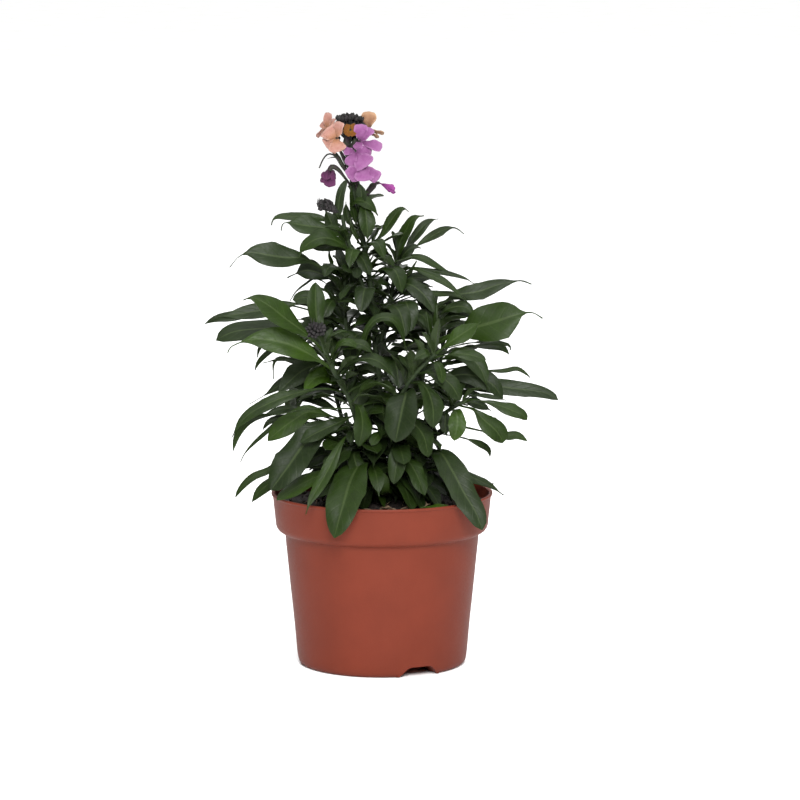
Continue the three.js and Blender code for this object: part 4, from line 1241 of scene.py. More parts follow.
def channel_block(name, index, grow):
    """A drain channel as a bar with a trapezoid section and rounded upper edges."""
    foot, top = CHANNEL_FOOT_HALF + grow * 1.1, CHANNEL_TOP_HALF + grow * 0.7
    height = CHANNEL_HEIGHT + grow
    start, reach = CHANNEL_START - grow, CHANNEL_END
    deselect_all()
    bpy.ops.mesh.primitive_cube_add(size=1)
    piece = added(name)
    bpy.ops.object.mode_set(mode="EDIT")
    size = (2 * foot * MM, (reach - start) * MM, (height + 1) * MM)
    bpy.ops.transform.resize(value=size)
    bpy.ops.transform.translate(value=(0, -(reach + start) / 2 * MM, (height - 1) / 2 * MM))
    mesh = bmesh.from_edit_mesh(piece.data)
    bpy.ops.mesh.select_mode(type="FACE")
    for face in mesh.faces:
        face.select_set(face.normal.z > 0.9)
    bmesh.update_edit_mesh(piece.data)
    bpy.ops.transform.resize(value=(top / foot, 1, 1), center_override=(0, 0, 0))
    mesh = bmesh.from_edit_mesh(piece.data)
    bpy.ops.mesh.select_mode(type="EDGE")
    for edge in mesh.edges:
        high = all(v.co.z > (height - 0.5) * MM for v in edge.verts)
        runs_out = abs(edge.verts[0].co.y - edge.verts[1].co.y) > 1 * MM
        edge.select_set(high and runs_out)
    bmesh.update_edit_mesh(piece.data)
    bpy.ops.mesh.bevel(offset=CHANNEL_EDGE * MM, segments=5)
    bpy.ops.mesh.select_all(action="SELECT")
    bpy.ops.object.mode_set(mode="OBJECT")
    piece.data.transform(Matrix.Rotation(channel_turn(index), 4, "Z"))
    return piece


def cut(piece, tool, operation):
    apply_modifier(piece, "BOOLEAN", object=tool, operation=operation, solver="EXACT")
    bpy.data.objects.remove(tool)
    return piece


class MouldPot(bpy.types.Operator):
    """Mould the nursery pot with its collar, lip and three drain channels"""

    bl_idname = "wallflower.mould_pot"
    bl_label = "Mould the pot"

    def execute(self, context):
        pot = turned_shell("nursery_pot", FOOT_R, POT_OUTSIDE + POT_INSIDE)
        for index in range(CHANNEL_COUNT):
            cover = channel_block("channel_cover", index, CHANNEL_WALL)
            deselect_all()
            bpy.ops.mesh.primitive_cone_add(
                vertices=POT_SIDES, radius1=COVER_CONE_FOOT_R * MM, radius2=COVER_CONE_TOP_R * MM,
                depth=COVER_CONE_HEIGHT * MM, location=(0, 0, COVER_CONE_MIDDLE_Z * MM),
            )
            cut(cover, added("channel_limit"), "INTERSECT")
            cut(pot, cover, "UNION")
        for index in range(CHANNEL_COUNT):
            cut(pot, channel_block("channel_void", index, 0), "DIFFERENCE")
            turn = channel_turn(index)
            x, y = DRAIN_HOLE_AT * math.sin(turn), -DRAIN_HOLE_AT * math.cos(turn)
            deselect_all()
            bpy.ops.mesh.primitive_cylinder_add(
                vertices=32, radius=DRAIN_HOLE_R * MM, depth=DRAIN_HOLE_DEPTH * MM,
                location=(x * MM, y * MM, CHANNEL_HEIGHT * MM),
            )
            cut(pot, settle(added("drain_hole")), "DIFFERENCE")
        finish_piece(pot, finish("pot", moulded_polypropylene), "pot", "pot", crease=38)
        return {"FINISHED"}


# The compost


def soil_bumps(x, y):
    """How far the soil's surface stands above its mean, in millimetres."""
    rolling = 1.3 * math.sin(x / 9 + 0.6) * math.cos(y / 11) + 0.8 * math.sin(x / 4.1 + y / 5.3)
    return rolling + 1.4 * math.exp(-(x * x + y * y) / 500)


class FillCompost(bpy.types.Operator):
    """Fill the pot with compost, and strew it with crumbs, fibres and scraps of leaf"""

    bl_idname = "wallflower.fill_compost"
    bl_label = "Fill the compost"

    def execute(self, context):
        props = context.scene.wallflower_pot
        self.lay_plug()
        self.strew_crumbs(props.crumbs)
        self.strew_litter()
        return {"FINISHED"}

    def lay_plug(self):
        plug = turned_shell("compost", PLUG_FOOT_R, PLUG_OUTSIDE)
        spots = read_vertices(plug.data)
        spots[spots[:, 2] < 1 * MM, 2] = SOIL_BOTTOM * MM
        write_vertices(plug.data, spots)
        make_active(plug)
        bpy.ops.object.mode_set(mode="EDIT")
        mesh = bmesh.from_edit_mesh(plug.data)
        bpy.ops.mesh.select_mode(type="FACE")
        for face in mesh.faces:
            face.select_set(face.normal.z > 0.9 and len(face.verts) > 4)
        bmesh.update_edit_mesh(plug.data)
        for _ in range(PLUG_INSETS):
            bpy.ops.mesh.inset(thickness=PLUG_INSET * MM)
        bpy.ops.mesh.poke()
        bpy.ops.object.mode_set(mode="OBJECT")
        spots = read_vertices(plug.data) / MM
        rng = np.random.default_rng(4)
        reach = np.hypot(spots[:, 0], spots[:, 1])
        on_top = spots[:, 2] > SOIL_EDGE_Z - 0.5
        rise = np.array([soil_bumps(x, y) for x, y in spots[:, :2]]) + rng.normal(0, 0.35, len(spots))
        spots[:, 2] += np.where(on_top, rise * np.clip((SOIL_R - reach) / 4 + 0.3, 0, 1), 0)
        write_vertices(plug.data, spots * MM)
        finish_piece(plug, finish("compost", peat_compost), "soil", "potting_soil", crease=50)

    def strew_crumbs(self, count):
        rng = random.Random(11)
        crumbs = []
        deselect_all()
        bpy.ops.mesh.primitive_ico_sphere_add(subdivisions=1, radius=1)
        master = added("crumb_master")
        shape = read_vertices(master.data)
        for _ in range(count):
            reach, angle = (SOIL_R - 2.5) * math.sqrt(rng.random()), rng.uniform(0, 2 * math.pi)
            x, y = reach * math.cos(angle), reach * math.sin(angle)
            size = rng.uniform(0.5, 1.7)
            crumb = linked("crumb", master.data.copy())
            stretch = np.array([[rng.uniform(0.6, 1.5), rng.uniform(0.6, 1.3), rng.uniform(0.5, 0.9)]])
            jag = np.array([[1 + rng.uniform(-0.3, 0.3)] for _ in shape])
            spots = shape * stretch * jag * size + [x, y, SOIL_TOP + soil_bumps(x, y) - 0.2 * size]
            write_vertices(crumb.data, spots * MM)
            crumbs.append(crumb)
        bpy.data.objects.remove(master)
        finish_piece(join(crumbs, "compost_crumbs"), finish("compost", peat_compost), "soil")

    def strew_litter(self):
        rng = random.Random(23)
        bits = []
        for k in range(FIBRES):
            reach, angle = (SOIL_R - 9) * math.sqrt(rng.random()), rng.uniform(0, 2 * math.pi)
            x, y = reach * math.cos(angle), reach * math.sin(angle)
            heading, length = rng.uniform(0, 2 * math.pi), rng.uniform(4, 13)
            dx, dy = length / 2 * math.cos(heading), length / 2 * math.sin(heading)
            z = SOIL_TOP + 0.9
            ends = [(x - dx, y - dy, z + soil_bumps(x - dx, y - dy)), (x, y, z + 0.6 + soil_bumps(x, y))]
            ends.append((x + dx, y + dy, z + soil_bumps(x + dx, y + dy)))
            radius = rng.uniform(0.2, 0.5)
            radii = [radius * 0.6, radius, radius * 0.4]
            bits.append(make_rod(f"fibre_{k}", ends, radii, None, 1, 6, 0.25, k))
        finish_piece(join(bits, "compost_fibres"), finish("litter", dry_litter), "soil")
        scraps = []
        for k, (x, y, heading, length) in enumerate(SCRAPS):
            angle = math.radians(heading)
            step = Vector((math.cos(angle), math.sin(angle), 0)) * length / 2
            middle = Vector((x, y, SOIL_TOP + soil_bumps(x, y) + 1.6))
            bent = [middle - step, middle + Vector((0, 0, 0.8)), middle + step]
            line = framed_line(bent, rng.uniform(-25, 25))
            scraps.append(cast_blade(f"scrap_{k}", "lance", line, length * 0.3, rng, 0.5, 0.3))
        dead = thicken(join(scraps, "dead_leaves"), BLADE_THICK)
        finish_piece(dead, finish("litter", dry_litter), "soil")
        middle = Vector((31, -40, SOIL_TOP + 3.4))
        line = framed_line([middle - Vector((9, 0, 0)), middle, middle + Vector((8, 2, 0.4))], 25)
        fresh = thicken(cast_blade("fallen_leaf", "broad", line, 6, rng, 0.2, 0.1, 0, 1.0), BLADE_THICK)
        finish_piece(fresh, finish("leaf", leaf_blade), "leaf")


# Stems and leaves


class GrowStems(bpy.types.Operator):
    """Grow the stems, the flowering one in the middle and the leafy ones round it"""

    bl_idname = "wallflower.grow_stems"
    bl_label = "Grow the stems"

    def execute(self, context):
        for index, (name, row) in enumerate(STEMS.items()):
            radii = [row.foot_r, (row.foot_r + row.tip_r) / 2, row.tip_r, row.tip_r * 0.9]
            green = finish("stem", green_stem)
            piece = make_rod(f"{name}_ribbed", row.points, radii, green, 4, 70, 0.06, index)
            finish_piece(piece, green, "stem", name, crease=50)
        return {"FINISHED"}


def leaf_line(row):
    start = stem_at(row.stem, row.height)
    return framed_line([start, *row.points], row.roll)


def finish_leaves(piece, slot, *nodes):
    """Gives a leaf or a tuft its thickness, its look and its place."""
    thicken(piece, BLADE_THICK)
    finish_piece(piece, finish("leaf", leaf_blade), slot, *nodes, crease=BLADE_CREASE)


class GrowOuterLeaves(bpy.types.Operator):
    """Grow the long leaves that make the plant's outline"""

    bl_idname = "wallflower.grow_outer_leaves"
    bl_label = "Grow the outer leaves"

    def execute(self, context):
        for name, row in OUTER_LEAVES.items():
            rng = random.Random(name)
            look = rng.uniform(*OUTER_FOLD), OUTER_WAVE, OUTER_TEETH, row.tone
            blade = cast_blade(f"{name}_blade", row.blade, leaf_line(row), row.width, rng, *look)
            finish_leaves(blade, "leaf", name)
        return {"FINISHED"}


class GrowSideLeaves(bpy.types.Operator):
    """Grow the shorter leaves that show between the outer ones"""

    bl_idname = "wallflower.grow_side_leaves"
    bl_label = "Grow the side leaves"

    def execute(self, context):
        for name in STEMS:
            rng = random.Random(name + " side")
            rows = [row for row in SIDE_LEAVES if row.stem == name]
            if not rows:
                continue
            leaves = []
            for row in rows:
                look = rng.uniform(*SIDE_FOLD), SIDE_WAVE, SIDE_TEETH, row.tone
                leaves.append(cast_blade("leaf", row.blade, leaf_line(row), row.width, rng, *look))
            finish_leaves(join(leaves, f"{name}_side_leaves"), "leaf")
        return {"FINISHED"}


# How a blade folds up along its midrib, at least and at most, how high its margins wave, and how
# many teeth it has, for the outer, the side and the inner leaves.
OUTER_FOLD, OUTER_WAVE, OUTER_TEETH = (0.12, 0.28), 0.13, 3
SIDE_FOLD, SIDE_WAVE, SIDE_TEETH = (0.12, 0.3), 0.15, 2
INNER_FOLD, INNER_WAVE = (0.12, 0.35), 0.16
PROXY_ROWS = 8
PLACES = 16  # how many are tried for an inner leaf
STRAY = 3  # how far, in millimetres, it may reach out of the outline
STRAY_FAULTS = 14  # crossings that a stray leaf counts as, and too many for any leaf


def proxy_of(line, half_width, shape):
    """A coarse copy of a blade as a search tree, for telling whether two leaves cross."""
    spots, faces = [], []
    steps = len(line.at) - 1
    for row in range(PROXY_ROWS + 1):
        share = row / PROXY_ROWS
        i = round(share * steps)
        half = outline(shape, min(max(share, 0.02), 0.98)) * half_width
        for v in (-1, 1):
            spots.append(line.at[i] + line.side[i] * (v * half))
    for row in range(PROXY_ROWS):
        a = 2 * row
        faces.append((a, a + 1, a + 3, a + 2))
    return spots, BVHTree.FromPolygons(spots, faces)


def box_of(spots):
    xs, ys, zs = zip(*spots)
    return min(xs), min(ys), min(zs), max(xs), max(ys), max(zs)


def boxes_meet(a, b):
    return all(a[k] <= b[k + 3] and b[k] <= a[k + 3] for k in range(3))


class GrownLeaves:
    """The leaves grown so far, so that a new one can be kept clear of them and of the pot."""

    def __init__(self):
        self.rows = []

    def add(self, spots, tree):
        self.rows.append((box_of(spots), tree))

    def crossings(self, spots, tree):
        around = box_of(spots)
        return sum(len(tree.overlap(other)) for box, other in self.rows if boxes_meet(box, around))


def outside_by(spots):
    """How far a leaf reaches out of the plant's outline or into the pot, in millimetres."""
    worst = 0
    heights, lefts, rights = zip(*OUTLINE)
    middles = [a.lerp(b, 0.5) for a, b in zip(spots[::2], spots[1::2])]
    for p in (*spots, *middles):
        reach = math.hypot(p.x, p.y)
        # The spot on the plane through the pot's axis that the camera sees this point at.
        share = (p.y - CAMERA_AT.y / MM) / -(CAMERA_AT.y / MM)
        x, z = CAMERA_X + (p.x - CAMERA_X) / share, CAMERA_AT.z / MM + (p.z - CAMERA_AT.z / MM) / share
        if any(x0 < x < x1 and z0 < z < z1 for x0, x1, z0, z1 in OPEN_PLACES):
            worst = max(worst, STRAY + 1)
        left, right = (float(np.interp(p.z, heights, bounds)) for bounds in (lefts, rights))
        worst = max(worst, left - p.x, p.x - right, DEPTH_LIMITS[0] - p.y, p.y - DEPTH_LIMITS[1])
        if p.z < SOIL_CLEAR_Z and reach < SOIL_CLEAR_R:
            worst = max(worst, SOIL_CLEAR_Z - p.z)
        if p.z < LIP_CLEAR_Z and LIP_CLEAR_R[0] < reach < LIP_CLEAR_R[1]:
            worst = max(worst, LIP_CLEAR_Z - p.z)
    return worst


def inner_leaf_line(base, azimuth, rise, droop, length, roll):
    """A midrib that sets out at an angle above the horizon and bends down along its way."""
    heading = Vector((math.cos(azimuth), math.sin(azimuth), 0))
    points, spot, pieces = [base], base, 4
    for k in range(pieces):
        angle = rise - droop * ((k + 0.5) / pieces) ** 1.3
        spot = spot + (heading * math.cos(angle) + UP * math.sin(angle)) * (length / pieces)
        points.append(spot)
    return framed_line(points, roll, steps=16)


class GrowInnerLeaves(bpy.types.Operator):
    """Grow the many shorter leaves that fill each leafy stem, turned by the golden angle"""

    bl_idname = "wallflower.grow_inner_leaves"
    bl_label = "Grow the inner leaves"

    def execute(self, context):
        grown = GrownLeaves()
        for row in (*OUTER_LEAVES.values(), *SIDE_LEAVES):
            grown.add(*proxy_of(leaf_line(row), row.width / 2, LEAF_SHAPES[row.blade]))
        for name, shoot in SHOOTS.items():
            self.clothe(name, shoot, grown)
        return {"FINISHED"}

    def clothe(self, name, shoot, grown):
        rng = random.Random(name)
        leaves = []
        first = rng.uniform(0, 2 * math.pi)
        for k in range(shoot.leaves):
            share = k / (shoot.leaves - 1)
            base = stem_at(name, shoot.low + (shoot.high - shoot.low) * share**0.9)
            best = self.best_line(rng, base, first + k * GOLDEN_ANGLE, share, shoot, grown)
            if best is None:
                continue
            line, width, kind, proxy = best
            grown.add(*proxy)
            # Painted shade: the inner leaves are kept dark for the shade deep inside the plant; the tone rises
            # towards the top of each shoot.
            tone = min(max(rng.gauss(0.14, 0.16) + 0.25 * share**3, 0), 1)
            fold = rng.uniform(*INNER_FOLD) + 0.25 * share**2
            leaves.append(cast_blade("leaf", f"{kind}_plain", line, width, rng, fold, INNER_WAVE, 0, tone))
        finish_leaves(join(leaves, f"{name}_leaves"), "leaf")

    def best_line(self, rng, base, azimuth, share, shoot, grown):
        """Tries a few turns and slopes and keeps the one that crosses the fewest leaves."""
        found, fewest = None, math.inf
        kind = rng.choice(("lance", "lance", "spoon", "broad")) if share < 0.85 else "young"
        for attempt in range(PLACES):
            shrink = 1 - 0.035 * attempt
            full = shoot.long + (shoot.short - shoot.long) * share**1.6
            length = full * rng.uniform(0.8, 1.1) * shrink
            width = length * rng.uniform(0.23, 0.32)
            rise = math.radians(10 + 65 * share**1.5 + rng.uniform(-18, 18))
            droop = math.radians(85 - 45 * share + rng.uniform(-25, 25))
            turn = azimuth + rng.uniform(-0.5, 0.5)
            line = inner_leaf_line(base, turn, rise, droop, length, rng.uniform(-35, 35))
            spots, tree = proxy_of(line, width / 2, LEAF_SHAPES[kind])
            faults = grown.crossings(spots[4:], tree) + (STRAY_FAULTS if outside_by(spots) > STRAY else 0)
            if faults < fewest:
                found, fewest = (line, width, kind, (spots, tree)), faults
            if faults == 0:
                break
        return found if fewest < STRAY_FAULTS else None


class GrowYoungShoot(bpy.types.Operator):
    """Grow the upright young leaves at the tip of the right front stem"""

    bl_idname = "wallflower.grow_young_shoot"
    bl_label = "Grow the young shoot"

    def execute(self, context):
        rng = random.Random("young shoot")
        foot = stem_at("right_front_stem", YOUNG_FOOT_Z)
        leaves = []
        for k, (length, lean) in enumerate(YOUNG_LEAVES):
            turn = 0.4 + k * GOLDEN_ANGLE
            out = Vector((math.cos(turn), math.sin(turn), 0))
            points = [foot, foot + out * 1.6 + UP * length * 0.3]
            points.append(foot + out * (1.8 + lean * length * 0.5) + UP * length * 0.7)
            points.append(foot + out * (1.5 + lean * length) + UP * length)
            line = framed_line(points, 0, up=-out)
            leaves.append(cast_blade("young_leaf", "young", line, YOUNG_WIDTH, rng, 0.6, 0.05, 0, 0.3))
        finish_leaves(join(leaves, "young_leaves"), "young_leaf", "young_shoot_tip")
        return {"FINISHED"}


# Flowers and buds


THROAT_DEPTH = 2.2  # from a flower's centre down to the foot of its petals
CALYX_DEPTH = 5  # from its centre down to the foot of its calyx
# Four sepals: how far out and how far up from the calyx's foot each runs.
SEPALS = 4
SEPAL_WIDTH = 2.8
SEPAL_WAY = ((1.6, 1.5), (1.9, 3), (1.6, 4.4))
STAMENS = 5
STAMEN_TURN = 1.3
# The spots that the faded flowers hang from, and the tips and widths of their petals.
DROOPING_FOOT = Vector((-30, -4, 293.3))
DROOPING_TIPS = [
    ((-35.6, -5, 284.8), 5.5), ((-30.6, -7, 282), 7.5), ((-26.6, -4, 286.4), 6.5), ((-31.5, -1, 284.5), 6.5),
    ((-33.5, -7, 286.5), 6),
]
FADED_FOOT = Vector((-1.8, 1.5, 284))
FADED_TIPS = [((8.2, 0, 278.4), 4), ((7.6, -1, 279.6), 4), ((7.2, 1.5, 281), 3.6), ((5.5, 0, 279), 3.6)]


def finish_petals(petals, name, kind, slot, node_name):
    """Joins petals to one piece, and gives it its thickness, its look and its place."""
    piece = thicken(join(petals, name), PETAL_THICK, 0)
    finish_piece(piece, petal_finish(kind), slot, node_name, crease=BLADE_CREASE)


class OpenFlowers(bpy.types.Operator):
    """Open the flowers: four petals in a cross, stamens in the throat, a calyx and a stalk"""

    bl_idname = "wallflower.open_flowers"
    bl_label = "Open the flowers"

    def execute(self, context):
        for name, row in FLOWERS.items():
            self.open_flower(name, row)
        return {"FINISHED"}

    def open_flower(self, name, row):
        rng = random.Random(name)
        faces, centre = Vector(row.faces).normalized(), Vector(row.centre)
        turned = UP.rotation_difference(faces)
        petals = []
        for k, (tip, width, roll) in enumerate(row.petals):
            way = Vector(tip) - centre
            lift = 0.3 * (k % 2)
            points = [centre - faces * THROAT_DEPTH, centre + way * 0.12 + faces * (0.2 + lift)]
            points += [centre + way * 0.55 + faces * (way.length * 0.1 + lift), Vector(tip)]
            line = framed_line(points, roll, up=faces)
            petals.append(cast_blade("petal", "petal", line, width, rng, 0.05, 0.16))
        slot = "apricot_petal" if row.colour == "tawny" else f"{row.colour}_petal"
        finish_petals(petals, f"{name}_petals", row.colour, slot, name)
        self.close_calyx(name, row, centre, faces, turned, rng)

    def close_calyx(self, name, row, centre, faces, turned, rng):
        foot = centre - faces * CALYX_DEPTH
        stem = stem_at("main_stem", row.height)
        green = finish("sepal", sepal)
        way = [stem, stem.lerp(foot, 0.6) - UP * 0.6, foot, foot + faces]
        parts = [make_rod("stalk", way, [0.7, 0.6, 0.8, 0.9], green, 2, 12)]
        way = [foot - faces * 0.3, foot + faces * 2.6, foot + faces * 4.2]
        parts.append(make_rod("tube", way, [0.9, 1.3, 1.2], green, 3, 8))
        for k in range(SEPALS):
            out = turned @ (Quaternion(UP, (k + 0.5) * 2 * math.pi / SEPALS) @ Vector((1, 0, 0)))
            points = [foot - faces * 0.2]
            points += [foot + out * wide + faces * high for wide, high in SEPAL_WAY]
            line = framed_line(points, 0, 16, up=-out)
            blade = cast_blade("sepal", "young_plain", line, SEPAL_WIDTH, rng, 0.35, 0.02)
            parts.append(thicken(blade, PETAL_THICK, 0))
        for k in range(STAMENS):
            out = turned @ (Quaternion(UP, k * STAMEN_TURN) @ Vector((1, 0, 0)))
            tip = centre + out * 0.5 + faces * (0.6 if row.colour == "orange" else -0.4)
            way = [centre - faces, tip - faces * 0.6, tip]
            parts.append(make_rod("stamen", way, [0.2, 0.2, 0.28], green, 1, 5))
        finish_piece(join(parts, f"{name}_calyx"), green, "stem", name, crease=ROUND_CREASE)


class SetBuds(bpy.types.Operator):
    """Set the heads of closed buds on top of the plant, at the upper left and at the front"""

    bl_idname = "wallflower.set_buds"
    bl_label = "Set the buds"

    def execute(self, context):
        deselect_all()
        bpy.ops.mesh.primitive_uv_sphere_add(segments=8, ring_count=7, radius=1)
        master = added("bud_master")
        shape = read_vertices(master.data)
        taper = 1 - 0.35 * np.clip(shape[:, 2], 0, 1) ** 2
        angle = np.arctan2(shape[:, 1], shape[:, 0])
        shape[:, :2] *= (taper * (1 + 0.08 * np.cos(4 * angle)))[:, None]
        write_vertices(master.data, shape)
        for name, row in BUD_HEADS.items():
            self.set_head(name, row, master)
        bpy.data.objects.remove(master)
        return {"FINISHED"}

    def set_head(self, name, row, master):
        rng = random.Random(name)
        axis, middle = Vector(row.axis).normalized(), Vector(row.middle)
        tip = stem_line(row.stem)[-1]
        frame_turn = UP.rotation_difference(axis)
        shape = read_vertices(master.data)
        buds = []
        for k in range(row.buds):
            share = (k + 0.5) / row.buds
            polar, turn = math.acos(1 - HEAD_COVER * share), k * GOLDEN_ANGLE
            flat = math.sin(polar)
            out = frame_turn @ Vector((flat * math.cos(turn), flat * math.sin(turn), math.cos(polar)))
            across = out - axis * out.dot(axis)
            # A squarish outline: the buds on top of a head stand nearly level.
            spread = max(abs(out.dot(axis)), 0.75) if share < 0.5 else abs(out.dot(axis))
            height = math.copysign(spread, out.dot(axis)) * row.length / 2
            spot = middle + across * row.radius + axis * (height + rng.uniform(-0.5, 0.5))
            big = rng.uniform(0.8, 1.15)
            lean = (out + axis * 0.5 + Vector([rng.uniform(-0.3, 0.3) for _ in range(3)])).normalized()
            turned = UP.rotation_difference(lean).to_matrix()
            spots = (shape * [BUD_R * big, BUD_R * big, BUD_HALF * big]) @ np.array(turned).T + np.array(spot)
            bud = linked("bud", master.data.copy())
            write_vertices(bud.data, spots * MM)
            buds.append(bud)
            start = tip.lerp(middle - axis * row.length * 0.3, rng.uniform(0.1, 0.9))
            way = [start, start.lerp(spot, 0.5) + across * 0.6, spot - lean * 1.2]
            buds.append(make_rod("bud_stalk", way, [0.5, 0.45, 0.5], None, 1, 5))
        for k in range(row.spikes):
            aside = Vector([rng.uniform(-1, 1) * row.radius * 0.6 for _ in range(3)])
            foot = middle + axis * row.length * 0.42 + aside
            end = foot + axis * 0.8 + Vector((rng.uniform(-1, 1), rng.uniform(-1, 1), rng.uniform(2.2, 3.6)))
            way = [foot, foot.lerp(end, 0.5) + axis * 0.5, end]
            buds.append(make_rod("spike", way, [0.35, 0.25, 0.1], None, 1, 5))
        head = join(buds, f"{name}_buds")
        finish_piece(head, finish("bud", closed_bud), "bud", name, crease=ROUND_CREASE)


class HangFadedFlowers(bpy.types.Operator):
    """Hang the drooping purple flower, the faded mauve one and the spent stalk"""

    bl_idname = "wallflower.hang_faded"
    bl_label = "Hang the faded flowers"

    def execute(self, context):
        self.drooping()
        self.faded()
        self.spent()
        return {"FINISHED"}

    def petals(self, name, foot, tips, kind, slot, stands_for, bulge):
        rng = random.Random(name)
        made = []
        for k, (tip, width) in enumerate(tips):
            end = Vector(tip)
            middle = foot.lerp(end, 0.5)
            out = (end - foot).normalized()
            turn = Quaternion(out, k * 2.2) @ out.orthogonal().normalized()
            points = [foot, foot.lerp(end, 0.25) + turn * bulge, middle + turn * bulge * 1.3, end]
            line = framed_line(points, 0, up=turn)
            made.append(cast_blade("petal", "petal", line, width, rng, -0.35, 0.1))
        finish_petals(made, name, kind, slot, stands_for)

    def drooping(self):
        look = "plum", "plum_petal", "drooping_bud", 1.0
        self.petals("drooping_petals", DROOPING_FOOT, DROOPING_TIPS, *look)
        stem = stem_at("main_stem", 280)
        points = [stem, (-22, -3, 288), (-25.5, -4, 292.3), (-29, -4, 293.8), (-30.2, -4, 291.6)]
        green = finish("sepal", sepal)
        stalk = make_rod("drooping_stalk", points, [0.8, 0.8, 0.9, 1.4, 1.7], green, 2, 18)
        finish_piece(stalk, green, "stem", "drooping_bud", crease=ROUND_CREASE)

    def faded(self):
        look = "magenta", "mauve_petal", "faded_flower", 0.7
        self.petals("faded_petals", FADED_FOOT, FADED_TIPS, *look)
        stem = stem_at("main_stem", 268)
        green = finish("sepal", sepal)
        way = [stem, (-10.5, 1.5, 275.5), (-8.6, 1.5, 277.8), (-5.2, 1.4, 282)]
        parts = [make_rod("faded_stalk", way, [0.9, 1.0, 1.6, 2.1], green, 2, 16)]
        way = [(-5.2, 1.4, 282), (-3.4, 1.4, 283.6), (-1.2, 1.5, 283.8)]
        parts.append(make_rod("faded_neck", way, [2.1, 1.2, 0.7], green, 2, 8))
        calyx = join(parts, "faded_calyx")
        finish_piece(calyx, green, "stem", "faded_flower", crease=ROUND_CREASE)

    def spent(self):
        stem = stem_at("main_stem", 284)
        above = [stem + Vector(by) for by in ((0, -1, 3), (0, -1, 6), (0, -1, 8), (0, 0, 10))]
        ways = [
            (
                [stem, (-22, 3, 293), (-27, 5, 299), (-31, 6, 300.3), (-34, 6, 297.5), (-36.5, 6, 292)],
                [0.6, 0.6, 0.5, 0.4],
            ),
            ([above[0], (-22.5, -3, 294), (-26, -4, 300), (-30, -5, 304.5)], [0.8, 1.3, 1.4, 0.7]),
            ([above[1], (-21, -4, 297), (-23.5, -6, 302), (-25, -7, 305)], [0.7, 1.5, 1.2, 0.6]),
            ([above[2], (-18, -5, 302), (-16, -6, 306), (-15, -7, 310.5)], [0.8, 1.9, 2.6, 1.4]),
            ([above[3], (-20, -3, 303), (-20.5, -4, 308), (-20, -5, 312)], [0.8, 2.0, 2.3, 1.5]),
            ([(-25.5, -3, 298), (-27.5, -4, 299.3), (-31.5, -4, 298.5)], [0.5, 0.35, 0.1]),
        ]
        rods = [make_rod("spent", points, radii, None, 2, 18) for points, radii in ways]
        stalks = join(rods, "spent_stalks")
        finish_piece(stalks, finish("sepal", sepal), "stem", "seed_pod", crease=ROUND_CREASE)


# The stage


FLOOR_SIZE = 40  # metres
# Softboxes: the place and the width in metres, and the setting that holds the power.
SOFTBOXES = {
    "key_softbox": ((0.12, -2.0, 1.3), 1.0, "key_light"),
    "top_softbox": ((0.1, 0.2, 1.7), 1.2, "top_light"),
    "back_softbox": ((-0.3, 2.0, 1.2), 1.0, "back_light"),
}
LIGHT_AIM = Vector((0, 0, 0.15))


class SetStage(bpy.types.Operator):
    """Set the pale floor, the soft studio light and the camera"""

    bl_idname = "wallflower.set_stage"
    bl_label = "Set the stage"

    def execute(self, context):
        props = context.scene.wallflower_stage
        deselect_all()
        bpy.ops.mesh.primitive_plane_add(size=FLOOR_SIZE)
        floor = dress(added("studio_floor"), finish("floor", studio_sweep))
        for name, (place, size, power) in SOFTBOXES.items():
            self.light(name, place, size, getattr(props, power))
        world = bpy.data.worlds.new("studio")
        world.use_nodes = True
        tree = world.node_tree
        back = tree.nodes["Background"]
        sky = node(tree, "ShaderNodeTexCoord").outputs["Generated"]
        height = node(tree, "ShaderNodeSeparateXYZ", {0: sky})
        tree.links.new(ramp(tree, height.outputs["Z"], 0.2, 1.0), back.inputs["Color"])
        back.inputs["Strength"].default_value = props.fill_light
        context.scene.world = world
        bpy.ops.object.camera_add(location=CAMERA_AT)
        camera = added("camera")
        camera.rotation_euler = (CAMERA_AIM - CAMERA_AT).to_track_quat("-Z", "Y").to_euler()
        camera.data.lens = CAMERA_LENS
        camera.data.sensor_width = CAMERA_SENSOR
        camera.data.clip_end = CAMERA_CLIP
        context.scene.camera = camera
        context.scene.view_settings.view_transform = "Standard"
        context.scene.view_settings.look = "None"
        return {"FINISHED"}

    def light(self, name, place, size, power):
        bpy.ops.object.light_add(type="AREA", location=place)
        lamp = added(name)
        lamp.data.shape = "DISK"
        lamp.data.size = size
        lamp.data.energy = power
        aim = LIGHT_AIM - Vector(place)
        lamp.rotation_euler = aim.to_track_quat("-Z", "Y").to_euler()


# Settings, panel and registration


AS_COLOUR = {"subtype": "COLOR", "size": 3, "min": 0, "max": 1}


class PotProperties(bpy.types.PropertyGroup):
    """What a user would change about the pot and its compost"""

    shell_colour: FloatVectorProperty(
        name="Pot colour", description="Colour of the moulded plastic", default=colour("#63291b"), **AS_COLOUR
    )
    crumbs: IntProperty(name="Crumbs", description="Loose crumbs on the compost", default=420, min=1)


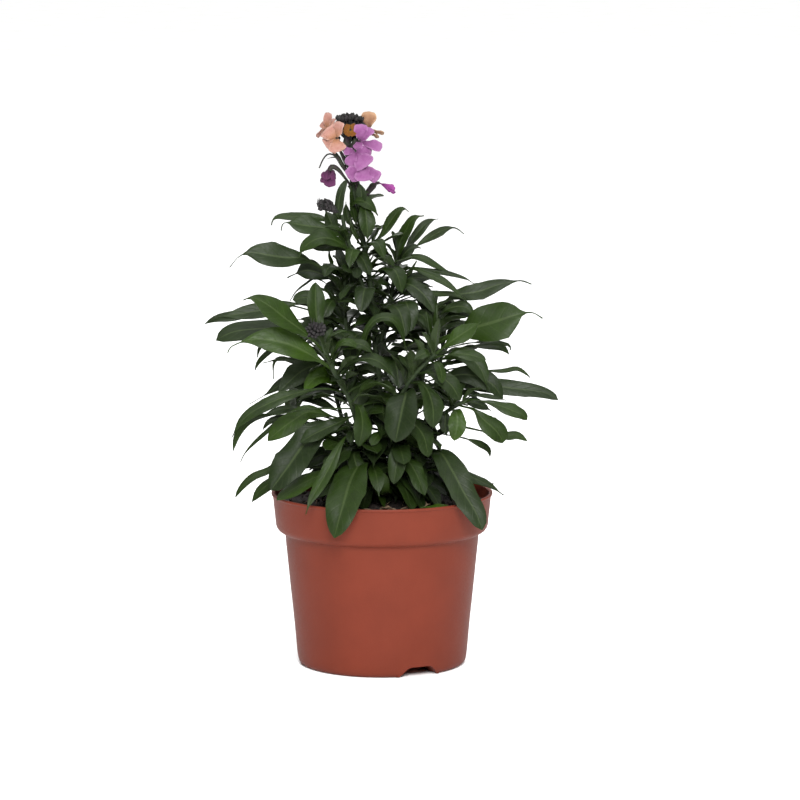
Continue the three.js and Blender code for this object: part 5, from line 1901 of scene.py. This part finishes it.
class PlantProperties(bpy.types.PropertyGroup):
    """What a user would change about the leaves"""

    # Deep green also paints the shade of leaves inside the plant, and bright green the light through leaves lit
    # from behind.
    deep_green: FloatVectorProperty(
        name="Deep green", description="Colour of the older leaves", default=colour("#121d08"), **AS_COLOUR
    )
    bright_green: FloatVectorProperty(
        name="Bright green", description="Colour of yellower leaves", default=colour("#273c05"), **AS_COLOUR
    )
    midrib_green: FloatVectorProperty(
        name="Midrib green", description="Colour of the midribs", default=colour("#475432"), **AS_COLOUR
    )


class StageProperties(bpy.types.PropertyGroup):
    """What a user would change about the light"""

    key_light: FloatProperty(
        name="Key light", description="Power of the front softbox", default=85, unit="POWER"
    )
    top_light: FloatProperty(
        name="Top light", description="Power of the overhead softbox", default=9, unit="POWER"
    )
    back_light: FloatProperty(
        name="Back light", description="Power of the softbox behind", default=9, unit="POWER"
    )
    fill_light: FloatProperty(name="Fill light", description="Strength of the world", default=1.75, min=0)


STEPS = (
    AddBlades, MouldPot, FillCompost, GrowStems, GrowOuterLeaves, GrowSideLeaves, GrowInnerLeaves,
    GrowYoungShoot, OpenFlowers, SetBuds, HangFadedFlowers, ClearBlades, SetStage,
)


class WallflowerPanel(bpy.types.Panel):
    """Lists the settings and the steps"""

    bl_idname = "VIEW3D_PT_wallflower"
    bl_label = "Potted wallflower"
    bl_space_type = "VIEW_3D"
    bl_region_type = "UI"
    bl_category = "Wallflower"

    def draw(self, context):
        for group in (getattr(context.scene, name) for name in GROUPS):
            box = self.layout.box()
            for name in group.bl_rna.properties.keys():
                if name not in ("rna_type", "name"):
                    box.prop(group, name)
        for step in STEPS:
            self.layout.operator(step.bl_idname)


GROUPS = {
    "wallflower_pot": PotProperties,
    "wallflower_plant": PlantProperties,
    "wallflower_stage": StageProperties,
}


def register():
    for kind in (*GROUPS.values(), *STEPS, WallflowerPanel):
        bpy.utils.register_class(kind)
    for name, kind in GROUPS.items():
        setattr(bpy.types.Scene, name, PointerProperty(type=kind))


def unregister():
    for name in GROUPS:
        delattr(bpy.types.Scene, name)
    for kind in (WallflowerPanel, *reversed(STEPS), *GROUPS.values()):
        bpy.utils.unregister_class(kind)


def main():
    register()
    for step in STEPS:
        area, name = step.bl_idname.split(".")
        getattr(getattr(bpy.ops, area), name)()


if __name__ == "__main__":
    main()
